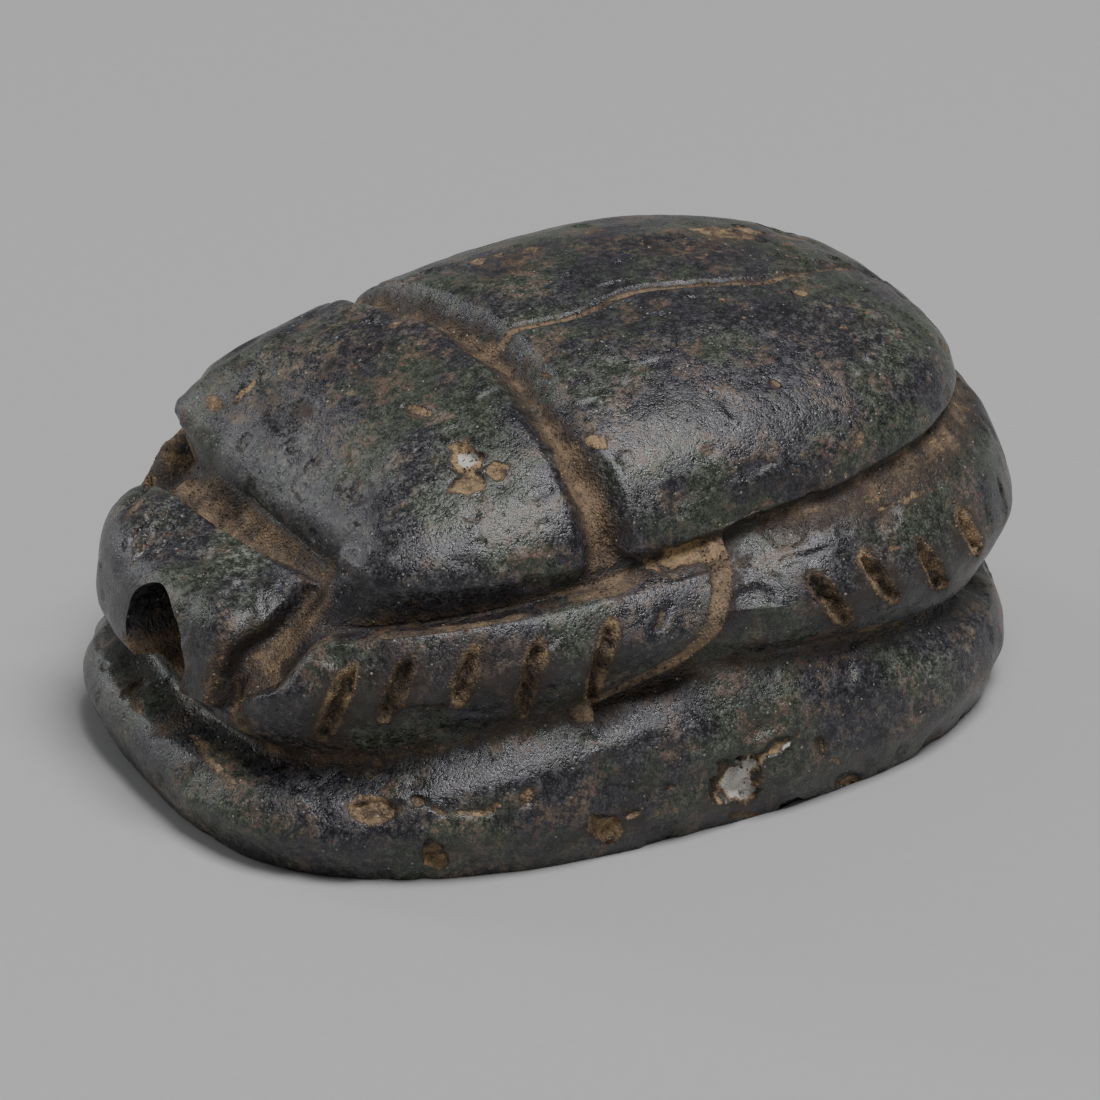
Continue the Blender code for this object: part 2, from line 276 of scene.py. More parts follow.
# Tan stone where the glaze is lost: centre, size, turn and strength
BARE_PATCHES = (
    ((468, 460), (42, 36), 0, 0.95),
    ((472, 484), (50, 26), -12, 0.9),
    ((494, 470), (28, 26), 0, 0.9),
    ((418, 410), (26, 9), 15, 0.8),
    ((740, 783), (54, 54), 15, 0.95),
    ((745, 815), (44, 12), 0, 0.6),
    ((778, 746), (40, 12), -35, 0.85),
    ((800, 733), (10, 14), 0, 0.7),
    ((824, 747), (7, 26), -15, 0.7),
    ((834, 760), (20, 7), 20, 0.7),
    ((375, 810), (46, 30), 5, 0.66),
    ((418, 800), (14, 14), -30, 0.72),
    ((438, 810), (26, 8), 25, 0.66),
    ((470, 813), (30, 8), 0, 0.66),
    ((495, 807), (24, 10), -30, 0.7),
    ((526, 798), (14, 20), 20, 0.74),
    ((432, 855), (34, 38), 0, 0.64),
    ((605, 826), (36, 34), 0, 0.72),
    ((634, 815), (18, 7), -20, 0.6),
    ((670, 788), (13, 9), 0, 0.7),
    ((850, 781), (26, 10), -15, 0.85),
    ((695, 553), (84, 30), -8, 0.95),
    ((725, 231), (84, 14), 6, 0.62),
    ((800, 293), (17, 7), 10, 0.85),
    ((843, 327), (11, 6), 0, 0.75),
    ((530, 250), (24, 7), -10, 0.6),
    ((595, 232), (26, 7), -6, 0.55),
    ((775, 383), (12, 7), 30, 0.8),
    ((548, 352), (10, 26), 25, 0.6),
    ((545, 376), (13, 10), 0, 0.7),
    ((598, 442), (24, 15), 10, 0.85),
    ((604, 530), (16, 36), -20, 0.6),
    ((392, 305), (30, 14), 30, 0.62),
    ((172, 448), (66, 44), 30, 0.58),
    ((478, 262), (16, 7), -20, 0.66),
    ((500, 255), (12, 6), -10, 0.66),
    ((512, 272), (9, 6), 0, 0.62),
    ((548, 262), (10, 6), 0, 0.6),
    ((690, 285), (11, 7), 0, 0.62),
    ((722, 300), (8, 6), 0, 0.6),
    ((860, 355), (9, 7), 0, 0.6),
    ((828, 372), (8, 6), 0, 0.6),
    ((745, 318), (9, 5), 0, 0.6),
    ((652, 333), (12, 7), 0, 0.6),
    ((886, 340), (14, 8), 0, 0.65),
    ((248, 388), (32, 7), -45, 0.82),
    ((215, 406), (18, 22), 0, 0.62),
    ((238, 366), (16, 8), -20, 0.55),
    ((395, 325), (22, 10), -20, 0.75),
    ((365, 422), (8, 5), 0, 0.6),
    ((930, 443), (12, 9), 0, 0.85),
    ((903, 500), (60, 9), -25, 0.68),
    ((878, 498), (26, 7), -20, 0.66),
    ((858, 440), (10, 18), 10, 0.6),
    ((896, 547), (22, 9), -20, 0.66),
    ((830, 594), (18, 26), 35, 0.85),
    ((870, 628), (36, 7), -12, 0.6),
    ((137, 706), (18, 32), -10, 0.68),
    ((205, 752), (14, 60), -40, 0.64),
    ((230, 782), (16, 24), -20, 0.6),
    ((762, 640), (30, 8), -12, 0.45),
)

# Worn zones, where the glaze is mottled with brown, green and tan crumbs, with a strength
WORN_ZONES = (
    ((320, 362), (260, 110), -25, 0.36),
    ((395, 350), (90, 70), 20, 0.3),
    ((215, 400), (90, 90), -40, 0.3),
    ((660, 245), (330, 46), 0, 0.36),
    ((505, 268), (130, 50), -15, 0.4),
    ((560, 360), (110, 60), -10, 0.2),
    ((840, 330), (150, 110), 30, 0.27),
    ((880, 420), (120, 60), -30, 0.25),
    ((890, 500), (150, 60), -25, 0.36),
    ((470, 820), (330, 70), 0, 0.3),
    ((770, 770), (230, 100), -20, 0.26),
    ((215, 770), (170, 90), 35, 0.34),
    ((290, 820), (190, 80), 15, 0.3),
    ((125, 690), (50, 130), -10, 0.26),
    ((440, 690), (260, 90), -12, 0.12),
)

# Soft pale films on the glaze: partly the glaze's real pale weathering, partly painted sheen where light
# glances off the shield, the wing case, the leg crest and the head
PALE_FILMS_AND_SHEENS = (
    ((290, 470), (190, 170), 30, 0.9),
    ((530, 520), (140, 80), -20, 0.55),
    ((640, 430), (210, 150), -35, 0.5),
    ((640, 590), (160, 34), -12, 0.6),
    ((235, 560), (130, 80), 20, 1.0),
    ((165, 515), (110, 90), 20, 0.8),
    ((760, 420), (150, 60), -20, 0.3),
)


def tone(name, description, default):
    """A colour that the user can change."""
    return bpy.props.FloatVectorProperty(
        name=name, description=description, default=default, subtype="COLOR"
    )


def measure(name, description, default):
    """A length that the user can change."""
    return bpy.props.FloatProperty(name=name, description=description, default=default, unit="LENGTH")


def power(name, description, default):
    """A light's power that the user can change."""
    return bpy.props.FloatProperty(name=name, description=description, default=default, unit="POWER")


class StoneSettings(bpy.types.PropertyGroup):
    """Sizes of the carved stone."""

    length: measure("Length", "Length of the oval base", 20.0 * MM)
    width: measure("Width", "Width of the oval base", 14.74 * MM)
    height: measure("Height", "Height of the back above the underside", 9.45 * MM)
    notch_width: measure("Notch width", "Width of the strokes cut across the legs", 0.5 * MM)
    notch_depth: measure("Notch depth", "Depth of the strokes cut across the legs", 0.32 * MM)
    unevenness: bpy.props.FloatProperty(
        name="Unevenness",
        description="How strongly the hand-worked surface waves",
        default=1.0,
        min=0.0,
        max=3.0,
        subtype="FACTOR",
    )


class ColourSettings(bpy.types.PropertyGroup):
    """Colours of the glaze, the stone below it and the earth."""

    slate: tone("Slate glaze", "Bluish dark glaze", (0.026, 0.023, 0.031))
    green: tone("Green glaze", "Greenish dark glaze", (0.032, 0.04, 0.026))
    brown: tone("Brown glaze", "Brown dark glaze", (0.06, 0.038, 0.026))
    # The pale colour below also serves as painted sheen where light glances off the glaze
    bloom_and_sheen: tone("Bloom", "Pale worn film on the glaze", (0.13, 0.137, 0.118))
    tan: tone("Bare stone", "Tan stone where the glaze is lost", (0.36, 0.245, 0.125))
    core: tone("Core", "White stone in the deepest chips", (0.55, 0.52, 0.47))
    earth: tone("Earth", "Brown earth that fills the grooves", (0.046, 0.031, 0.02))
    sand: tone("Sand", "Pale grains in the earth", (0.25, 0.172, 0.1))
    # The stain colour below also serves as painted shade in the recess behind each front leg
    stain_and_shade: tone("Stain", "Reddish stain beside the earth", (0.032, 0.02, 0.013))


class GritSettings(bpy.types.PropertyGroup):
    """Sandy grains caught in the carving."""

    size: measure("Grain size", "Radius of a usual grain", 0.032 * MM)
    density: bpy.props.FloatProperty(
        name="Density",
        description="Grains on each square metre where the earth is thickest",
        default=7.5e7,
    )
    seed: bpy.props.IntProperty(name="Seed", description="Changes where the grains lie", default=7)


class StageSettings(bpy.types.PropertyGroup):
    """Floor and light."""

    floor: tone("Floor", "Colour of the plain floor", (0.46, 0.46, 0.455))
    overhead: power("Overhead light", "Power of the large light above", 1.28)
    back_left: power("Back light", "Power of the light from behind on the left", 0.3)
    sky: bpy.props.FloatProperty(
        name="Fill",
        description="Strength of the even light all round",
        default=0.2,
        min=0.0,
    )


def settings():
    """The add-on's settings in this scene."""
    return bpy.context.scene.scarab


class ScarabSettings(bpy.types.PropertyGroup):
    """All settings of the amulet."""

    stone: bpy.props.PointerProperty(type=StoneSettings)
    colours: bpy.props.PointerProperty(type=ColourSettings)
    grit: bpy.props.PointerProperty(type=GritSettings)
    stage: bpy.props.PointerProperty(type=StageSettings)


# Small curves and noise


def smooth_between(places, values, at):
    """A smooth curve through the values, level at both of its ends."""
    places = np.asarray(places, float)
    values = np.asarray(values, float)
    slopes = np.zeros(len(values))
    slopes[1:-1] = (values[2:] - values[:-2]) / (places[2:] - places[:-2])
    at = np.clip(at, places[0], places[-1])
    first = np.clip(np.searchsorted(places, at, side="right") - 1, 0, len(values) - 2)
    span = places[first + 1] - places[first]
    f = (at - places[first]) / span
    return (
        values[first] * (1 + 2 * f) * (1 - f) ** 2
        + slopes[first] * span * f * (1 - f) ** 2
        + values[first + 1] * f**2 * (3 - 2 * f)
        - slopes[first + 1] * span * f**2 * (1 - f)
    )


def fade(value, start, end):
    """Rises smoothly from 0 at start to 1 at end."""
    f = np.clip((value - start) / (end - start), 0, 1)
    return f * f * (3 - 2 * f)


def band(value, middle, outer, inner):
    """1 near the middle, falling to 0 at the outer half width."""
    return fade(np.abs(value - middle), outer, inner)


def noise(points, size, seed):
    """Smooth noise from -1 to 1 with lumps of about this size, the same on each run."""
    place = points / size + 500
    cell = np.floor(place).astype(np.int64)
    f = place - cell
    f = f**3 * (f * (f * 6 - 15) + 10)
    total = np.zeros(len(points))
    for corner in product((0, 1), repeat=3):
        weight = np.where(corner, f, 1 - f).prod(axis=1)
        x, y, z = (cell + corner).astype(np.uint64).T
        mixed = (x * 374761393 + y * 668265263 + z * 2246822519 + seed * 3266489917) & 0xFFFFFFFF
        mixed = ((mixed ^ (mixed >> np.uint64(15))) * np.uint64(2246822519)) & 0xFFFFFFFF
        mixed = ((mixed ^ (mixed >> np.uint64(13))) * np.uint64(3266489917)) & 0xFFFFFFFF
        mixed ^= mixed >> np.uint64(16)
        total += weight * (mixed / 0x7FFFFFFF - 1)
    return total


def waves(points, kinds):
    """A sum of noises, each with its own strength, lump size and seed."""
    return sum(strength * noise(points, size, seed) for strength, size, seed in kinds)


def layered(points, size, seed, layers):
    """Noise with finer and weaker layers on top."""
    total = sum(noise(points, size / 2**k, seed + k) / 2**k for k in range(layers))
    return total / (2 - 2 ** (1 - layers))


# The form of the stone


def half_axes():
    """Half the length, half the width and the height, in millimetres."""
    size = settings().stone
    return np.array([size.length / 2, size.width / 2, size.height]) / MM


def outline_radius(turn):
    """Radius of the oval outline in a frame where both of its half axes are 1."""
    across = np.abs(np.cos(turn)) ** OUTLINE_POWER + np.abs(np.sin(turn)) ** OUTLINE_POWER
    return across ** (-1 / OUTLINE_POWER)


def from_head(turn, twist=0.0, lean=0.0):
    """The turn measured from the head, whose middle is turned aside by the twist."""
    aside = np.arctan2(-np.sin(turn), -np.cos(turn))
    forward = np.clip(-np.cos(turn), 0, 1)
    return np.abs(aside + twist * forward) + lean * forward


def side_levels(turn):
    """How far out and how high each level stands at each turn, as shares."""
    places = [from_head(turn, twist, lean) for twist, lean in zip(TWISTS, LEANS)]
    out = np.array([smooth_between(STATIONS, level[0], at) for level, at in zip(LEVELS, places)])
    up = np.array([smooth_between(STATIONS, level[1], at) for level, at in zip(LEVELS, places)])
    return out, up


def rounded(column, step):
    """Reads a column of level values at a fractional level, easing through each of them."""
    last = len(column) - 1
    low = np.clip(np.floor(step).astype(int), 0, last - 1)
    f = step - low
    points = [np.take_along_axis(column, np.clip(low + k, 0, last)[None], 0)[0] for k in (-1, 0, 1, 2)]
    before, start, end, after = points
    return (
        start * (1 + 2 * f) * (1 - f) ** 2
        + ROUNDNESS * (end - before) * f * (1 - f) ** 2
        + end * f**2 * (3 - 2 * f)
        - ROUNDNESS * (after - start) * f**2 * (1 - f)
    )


def stone_surface(turn, row):
    """Points of the uncarved form in millimetres, for turns and rows of the coarse net."""
    span = np.interp(row, np.concatenate(([0], np.cumsum(NET_ROWS))), np.arange(len(NET_ROWS) + 1))
    out, up = side_levels(turn)
    side_step = np.clip(span - 1, 0, len(LEVELS) - 1)
    share = rounded(out, side_step)
    height = rounded(up, side_step)
    share = np.where(span < 1, span * out[0], share)
    climb = np.clip(span - len(LEVELS), 0, 1)
    inward = np.cos(climb * math.pi / 2)
    share = np.where(climb > 0, out[-1] * inward, share)
    radius = outline_radius(turn)
    x = share * radius * np.cos(turn)
    y = share * radius * np.sin(turn)
    ridge = smooth_between(RIDGE_PLACES, RIDGE_HEIGHTS, x)
    arch = np.sqrt(1 - inward ** smooth_between(STATIONS, BACK_FULLNESS, from_head(turn)))
    height = np.where(climb > 0, up[-1] + (ridge - up[-1]) * arch, height)
    return np.stack([x, y, height], axis=-1) * half_axes()


def stone_net(fineness):
    """A closed net of rows and turns laid on the form, as a new mesh."""
    rows = sum(NET_ROWS) * fineness
    around = NET_SEGMENTS * fineness
    turns = np.linspace(-math.pi, math.pi, around, endpoint=False)
    turn, row = np.meshgrid(turns, np.arange(1, rows) / fineness)
    rings = stone_surface(turn.ravel(), row.ravel())
    ends = stone_surface(np.zeros(2), np.array([0.0, sum(NET_ROWS)]))
    here = np.arange(around)
    after = np.roll(here, -1)
    start = np.arange(rows - 2)[:, None] * around
    quads = np.stack([start + here, start + after, start + after + around, start + here + around], axis=-1)
    under, over, last = len(rings), len(rings) + 1, (rows - 2) * around
    caps = [(under, b, a) for a, b in zip(here, after)]
    caps += [(last + a, last + b, over) for a, b in zip(here, after)]
    mesh = bpy.data.meshes.new("net")
    mesh.from_pydata(np.vstack([rings, ends]), [], quads.reshape(-1, 4).tolist() + caps)
    return mesh


def read_points(mesh, name="co"):
    """The mesh's points, or their normals, as rows."""
    values = np.empty(len(mesh.vertices) * 3)
    mesh.vertices.foreach_get(name, values)
    return values.reshape(-1, 3)


def write_points(mesh, points):
    """Puts the rows back as the mesh's points."""
    mesh.vertices.foreach_set("co", points.ravel())
    mesh.update()


def line_gap(points, line):
    """Distance of each point from a line of short straight runs."""
    nearest = np.full(len(points), np.inf)
    for start, end in zip(line[:-1], line[1:]):
        run = end - start
        along = np.clip((points - start) @ run / (run @ run), 0, 1)
        gap = np.linalg.norm(points - start - along[:, None] * run, axis=1)
        nearest = np.minimum(nearest, gap)
    return nearest


def plan_gap(points, places, values, along_x):
    """Distance in plan from a smooth line given by shares of the half length and half width."""
    fine = np.linspace(places[0], places[-1], 48)
    other = smooth_between(places, values, fine)
    x, y = (fine, other) if along_x else (other, fine)
    line = np.column_stack([x, y, np.zeros(len(fine))]) * half_axes()
    return line_gap(points * (1, 1, 0), line)


def behind_elbow(points):
    """How far behind the front leg's rear edge each point lies, and how well it is in its height."""
    half_length, _, height = half_axes()
    share = points[:, 2] / height
    behind = points[:, 0] - np.interp(share, ELBOW_HEIGHTS, ELBOW_PLACES) * half_length
    foot = fade(share, ELBOW_FOOT[0], ELBOW_FOOT[1])
    top = fade(share, ELBOW_TOP[1], ELBOW_TOP[0])
    return behind, foot * top


def elbow_step(points):
    """Share of the step down behind each front leg, 1 at the leg's rear edge."""
    behind, within = behind_elbow(points)
    return fade(behind, -ELBOW_EDGE, ELBOW_EDGE) * fade(behind, ELBOW_REACH, 0) * within


def inside_head(points):
    """How far inside the head plate's edge each point lies, below 0 outside it."""
    half_length, half_width, _ = half_axes()
    half = np.interp(points[:, 0] / half_length, HEAD_PLACES, HEAD_HALF_WIDTHS) * half_width
    from_side = half - np.abs(points[:, 1] - HEAD_ASIDE)
    from_back = HEAD_PLACES[-1] * half_length - HEAD_SKEW * points[:, 1] - points[:, 0]
    return np.minimum(from_side, from_back)


def head_rise(points):
    """How far the head plate stands up at each point, with a cut along its foot."""
    half_length, _, height = half_axes()
    inside = inside_head(points)
    lip = fade(points[:, 2] / height, HEAD_UNDERSIDE - HEAD_LIP, HEAD_UNDERSIDE)
    forward = fade(points[:, 0] / half_length, HEAD_PLACES[-1], HEAD_PLACES[1])
    back, front = HEAD_RISES
    rise = (back + (front - back) * forward) * fade(inside, -HEAD_EDGE, HEAD_EDGE)
    foot = HEAD_FOOT_CUT * fade(inside, -HEAD_FOOT_WIDTH, -HEAD_EDGE) * fade(inside, HEAD_EDGE, -HEAD_EDGE)
    return (rise - foot) * lip


def level_of(points):
    """Which of the form's levels each point lies at, and its turn in degrees from the head."""
    size = half_axes()
    turn = np.arctan2(points[:, 1] / size[1], points[:, 0] / size[0])
    up = side_levels(turn)[1]
    up = np.maximum.accumulate(up, axis=0) + LEAST_STEP * np.arange(len(LEVELS))[:, None]
    height = points[:, 2] / size[2]
    level = sum(np.clip((height - low) / (high - low), 0, 1) for low, high in zip(up[:-1], up[1:]))
    count = np.arange(len(LEVELS))
    twist = np.interp(level, count, TWISTS)
    lean = np.interp(level, count, LEANS)
    return level, np.degrees(from_head(turn, twist, lean))


# Places that the photograph shows, carried onto the stone


class Caster:
    """Carries pixels of the photograph onto the uncarved stone."""

    def __init__(self):
        net = stone_net(1)
        points = read_points(net)
        points += read_points(net, "normal") * head_rise(points)[:, None]
        faces = [tuple(face.vertices) for face in net.polygons]
        self.tree = BVHTree.FromPolygons([Vector(p) for p in points], faces)
        bpy.data.meshes.remove(net)

    def on_stone(self, pixel):
        """The point of the stone that shows at the pixel."""
        across, down = ((pixel[k] - ORIGIN_PIXEL[k]) / PIXELS_PER_MM for k in (0, 1))
        camera = BACK * CAMERA_AWAY
        aim = RIGHT * across - UP * down - camera
        place = self.tree.ray_cast(Vector(camera), Vector(aim))[0]
        if place is None:
            raise ValueError(f"no stone under the pixel {pixel}")
        return np.array(place)

    def nearest(self, point):
        """The point of the stone nearest to this one."""
        return np.array(self.tree.find_nearest(Vector(point))[0])

    def stroke(self, start, end):
        """A stroke on the flank that shows."""
        return np.array([self.on_stone(pixel) for pixel in np.linspace(start, end, STROKE_STEPS)])

    def other_side(self, line):
        """The same stroke on the far flank."""
        return np.array([self.nearest(point * (1, -1, 1)) for point in line])


def photo_places(points):
    """Where the points fall in the photograph, in its pixels."""
    away = CAMERA_AWAY - points @ BACK
    scale = PIXELS_PER_MM * CAMERA_AWAY / away
    return np.column_stack(
        [ORIGIN_PIXEL[0] + scale * (points @ RIGHT), ORIGIN_PIXEL[1] - scale * (points @ UP)]
    )


def patch_gap(points, seen, caster, centre, size, turn):
    """Distance from a patch's centre, 1 at its torn edge, and large on the rest of the stone."""
    gap = np.full(len(points), FAR)
    reach = max(size) / PIXELS_PER_MM + PATCH_MARGIN
    near = np.flatnonzero(np.linalg.norm(points - caster.on_stone(centre), axis=1) < reach)
    across, down = (seen[near] - centre).T
    c, s = math.cos(math.radians(turn)), math.sin(math.radians(turn))
    along = (across * c + down * s) / (size[0] / 2)
    aside = (down * c - across * s) / (size[1] / 2)
    gap[near] = np.hypot(along, aside) / (1 + waves(points[near], EDGE_TEARS))
    return gap


def patches(points, seen, caster, places, outer, inner):
    """How strongly a set of patches shows at each point, the last number of each its strength."""
    amount = np.zeros(len(points))
    for centre, size, turn, strength in places:
        gap = patch_gap(points, seen, caster, centre, size, turn)
        amount = np.maximum(amount, strength * fade(gap, outer, inner))
    return amount


def taper(count):
    """Shares of the full width along a stroke that is pointed at both ends."""
    along = np.linspace(-1, 1, count)
    return STROKE_TIP + (1 - STROKE_TIP) * np.sqrt(1 - along**2)


def stroke_gap(points, line):
    """Distance from a tapered stroke, told as if it had its full width all along."""
    nearest = np.full(len(points), FAR)
    near = np.flatnonzero(np.linalg.norm(points - line.mean(axis=0), axis=1) < STROKE_NEAR)
    shares = taper(len(line))
    for k in range(0, len(line) - 2, 2):
        gap = line_gap(points[near], line[k : k + 3 : 2]) / shares[k + 1]
        nearest[near] = np.minimum(nearest[near], gap)
    return nearest


def stroke_length(line):
    """How far a stroke reaches from end to end."""
    return np.linalg.norm(line[-1] - line[0])


def strokes_on(caster):
    """All leg and head strokes as lines on the stone."""
    legs = [caster.stroke(*pair) for pair in FRONT_STROKES + HIND_STROKES]
    legs += [caster.other_side(line) for line in legs]
    head = [caster.stroke(*pair) for pair in HEAD_STROKES]
    return legs, head


def carve(points, caster):
    """How far each point moves along its normal, outwards being positive."""
    level, _ = level_of(points)
    back = fade(level, len(LEVELS) - 2, len(LEVELS) - 1)
    waist = plan_gap(points, WAIST_ACROSS, WAIST_PLACES, False)
    suture = plan_gap(points, SUTURE_PLACES, SUTURE_ACROSS, True)
    wander = waves(points, LINE_WANDER)
    shoulder, wall = WAIST_WALL
    cut = WAIST_DEPTH * (1 - np.clip((waist + wander) / WAIST_HALF, 0, 1) ** shoulder) ** wall
    shoulder, wall = SUTURE_WALL
    line = SUTURE_DEPTH * (1 - np.clip((suture + wander / 3) / SUTURE_HALF, 0, 1) ** shoulder) ** wall
    cut = np.maximum(np.maximum(cut, line) * back, ELBOW_DEPTH * elbow_step(points))
    behind, within = behind_elbow(points)
    lip = ELBOW_LIP * fade(behind, -0.7, -0.1) * fade(behind, 0.1, -0.1) * within
    rise = head_rise(points) + lip - cut
    rough = waves(points, SURFACE_WAVES) + 0.011 * layered(points, 0.3, 24, 2)
    rough -= 0.05 * fade(noise(points, 0.45, 25), 0.42, 0.8)
    rough -= 0.07 * fade(noise(points * (1, 1, 1.6), 1.2, 26), 0.45, 0.85)
    rise += rough * settings().stone.unevenness
    seen = photo_places(points)
    for centre, size, turn, depth in CHIPS:
        gap = patch_gap(points, seen, caster, centre, size, turn)
        floor = 1 - 0.5 * noise(points, 0.22, 31) ** 2
        rise -= depth * floor * fade(gap, 1.05, 0.8)
    return rise


# Geometry node trees


def node(tree, kind, inputs=None, **choices):
    """Adds a node, sets its choices, and sets or links its inputs."""
    made = tree.nodes.new(kind)
    for name, value in choices.items():
        setattr(made, name, value)
    for key, value in (inputs or {}).items():
        socket = made.inputs[key]
        if isinstance(value, bpy.types.NodeSocket):
            tree.links.new(value, socket)
        else:
            socket.default_value = value
    return made


def new_tree(name, kind, inputs, outputs):
    """A node group with named sockets, with its input and output nodes."""
    tree = bpy.data.node_groups.new(name, kind)
    for way, sockets in (("INPUT", inputs), ("OUTPUT", outputs)):
        for socket_name, socket_kind, value in sockets:
            socket = tree.interface.new_socket(name=socket_name, in_out=way, socket_type=socket_kind)
            if value is not None:
                socket.default_value = value
    return tree, tree.nodes.new("NodeGroupInput"), tree.nodes.new("NodeGroupOutput")


def set_input(modifier, name, value):
    """Sets a geometry node modifier's input by its socket's identifier."""
    for socket in modifier.node_group.interface.items_tree:
        if socket.item_type == "SOCKET" and socket.in_out == "INPUT" and socket.name == name:
            modifier[socket.identifier] = value
            return
    raise KeyError(name)


def maths(tree, operation, first, second=0.0, third=0.0):
    made = node(tree, "ShaderNodeMath", {0: first, 1: second, 2: third}, operation=operation)
    return made.outputs[0]


def ramp(tree, value, start, end):
    """Rises smoothly from 0 at start to 1 at end."""
    made = node(
        tree,
        "ShaderNodeMapRange",
        {"Value": value, "From Min": start, "From Max": end},
        interpolation_type="SMOOTHSTEP",
    )
    return made.outputs["Result"]


def finished(tree, last, given):
    """Ends a tree: instances made real, and the given material set."""
    real = node(tree, "GeometryNodeRealizeInstances", {"Geometry": last.outputs[0]})
    inputs = {"Geometry": real.outputs[0], "Material": given.outputs["Material"]}
    return node(tree, "GeometryNodeSetMaterial", inputs).outputs[0]


def stroke_tree():
    """Cuts a round-ended groove along each edge of the strokes object."""
    tree, given, result = new_tree(
        "Cut strokes",
        "GeometryNodeTree",
        (
            ("Geometry", "NodeSocketGeometry", None),
            ("Strokes", "NodeSocketObject", None),
            ("Width", "NodeSocketFloat", 0.0005),
            ("Depth", "NodeSocketFloat", 0.0002),
            ("Wander", "NodeSocketFloat", 0.0001),
            ("Material", "NodeSocketMaterial", None),
        ),
        (("Geometry", "NodeSocketGeometry", None),),
    )
    strokes = node(tree, "GeometryNodeObjectInfo", {"Object": given.outputs["Strokes"]})
    line = strokes.outputs["Geometry"]
    nearest = node(tree, "GeometryNodeProximity", {0: line}, target_element="EDGES")
    place = node(tree, "GeometryNodeSampleNearest", {"Geometry": line})
    share = node(
        tree,
        "GeometryNodeSampleIndex",
        {
            "Geometry": line,
            "Value": node(tree, "GeometryNodeInputNamedAttribute", {"Name": "taper"}).outputs[0],
            "Index": place.outputs[0],
        },
    ).outputs[0]
    wander = node(
        tree,
        "ShaderNodeTexNoise",
        {
            "Vector": node(tree, "GeometryNodeInputPosition").outputs[0],
            "Scale": STROKE_WANDER,
            "Detail": 2.0,
        },
    )
    shift = maths(
        tree,
        "MULTIPLY",
        maths(tree, "SUBTRACT", wander.outputs[0], 0.5),
        given.outputs["Wander"],
    )
    gap = maths(tree, "ADD", nearest.outputs["Distance"], maths(tree, "MULTIPLY", shift, 2.0))
    gap = maths(tree, "DIVIDE", gap, share)
    half = maths(tree, "MULTIPLY", given.outputs["Width"], 0.5)
    profile = ramp(tree, gap, half, maths(tree, "MULTIPLY", half, STROKE_WALL))
    depth = maths(tree, "MULTIPLY", profile, maths(tree, "MULTIPLY", given.outputs["Depth"], -1.0))
    depth = maths(tree, "MULTIPLY", depth, share)
    inward = node(
        tree,
        "ShaderNodeVectorMath",
        {0: node(tree, "GeometryNodeInputNormal").outputs[0], "Scale": depth},
        operation="SCALE",
    )
    moved = node(
        tree,
        "GeometryNodeSetPosition",
        {"Geometry": given.outputs["Geometry"], "Offset": inward.outputs[0]},
    )
    tree.links.new(finished(tree, moved, given), result.inputs[0])
    return tree


def grit_tree():
    """Scatters small rough grains where the surface's grit value is high."""
    tree, given, result = new_tree(
        "Scatter grit",
        "GeometryNodeTree",
        (
            ("Geometry", "NodeSocketGeometry", None),
            ("Size", "NodeSocketFloat", 0.00003),
            ("Density", "NodeSocketFloat", 1e7),
            ("Seed", "NodeSocketInt", 7),
            ("Material", "NodeSocketMaterial", None),
        ),
        (("Geometry", "NodeSocketGeometry", None),),
    )
    where = node(tree, "GeometryNodeInputNamedAttribute", {"Name": "grit"}, data_type="FLOAT")
    spread = node(
        tree,
        "GeometryNodeDistributePointsOnFaces",
        {
            "Mesh": given.outputs["Geometry"],
            "Density": maths(tree, "MULTIPLY", where.outputs[0], given.outputs["Density"]),
            "Seed": given.outputs["Seed"],
        },
    )
    grain = node(tree, "GeometryNodeMeshIcoSphere", {"Radius": 1.0, "Subdivisions": 1})
    turn = node(
        tree,
        "FunctionNodeRandomValue",
        {0: (0.0, 0.0, 0.0), 1: (6.28, 6.28, 6.28), "Seed": 3},
        data_type="FLOAT_VECTOR",
    )
    stretch = node(
        tree,
        "FunctionNodeRandomValue",
        {0: (0.35, 0.35, 0.3), 1: (1.5, 1.3, 1.0), "Seed": 5},
        data_type="FLOAT_VECTOR",
    )
    scale = node(
        tree,
        "ShaderNodeVectorMath",
        {0: stretch.outputs[0], "Scale": given.outputs["Size"]},
        operation="SCALE",
    )
    placed = node(
        tree,
        "GeometryNodeInstanceOnPoints",
        {
            "Points": spread.outputs["Points"],
            "Instance": grain.outputs["Mesh"],
            "Rotation": turn.outputs[0],
            "Scale": scale.outputs[0],
        },
    )
    tree.links.new(finished(tree, placed, given), result.inputs[0])
    return tree


# Making pieces


def new_object(name, mesh):
    """An object of the mesh, linked to the scene at the origin."""
    made = bpy.data.objects.new(name, mesh)
    bpy.context.scene.collection.objects.link(made)
    return made


def remove_piece(name):
    """Takes away the piece of an earlier run, if there is one."""
    if name in bpy.data.objects:
        bpy.data.objects.remove(bpy.data.objects[name])


def finished_mesh(thing, name):
    """The object's mesh with all its modifiers worked out."""
    bpy.context.view_layer.update()
    seen = thing.evaluated_get(bpy.context.evaluated_depsgraph_get())
    mesh = bpy.data.meshes.new_from_object(seen)
    mesh.name = name
    return mesh


def bore_cutter():
    """The straight bore as a long rod, in metres."""
    work = bmesh.new()
    bmesh.ops.create_cone(
        work,
        cap_ends=True,
        segments=BORE_SEGMENTS,
        radius1=BORE_WIDTH / 2,
        radius2=BORE_WIDTH / 2,
        depth=BORE_LENGTH,
    )
    for vert in work.verts:
        x, y, z = vert.co
        vert.co = (z, y + BORE_ASIDE, BORE_HEIGHT - x)
    mesh = bpy.data.meshes.new("bore")
    work.to_mesh(mesh)
    work.free()
    write_points(mesh, read_points(mesh) * MM)
    return mesh


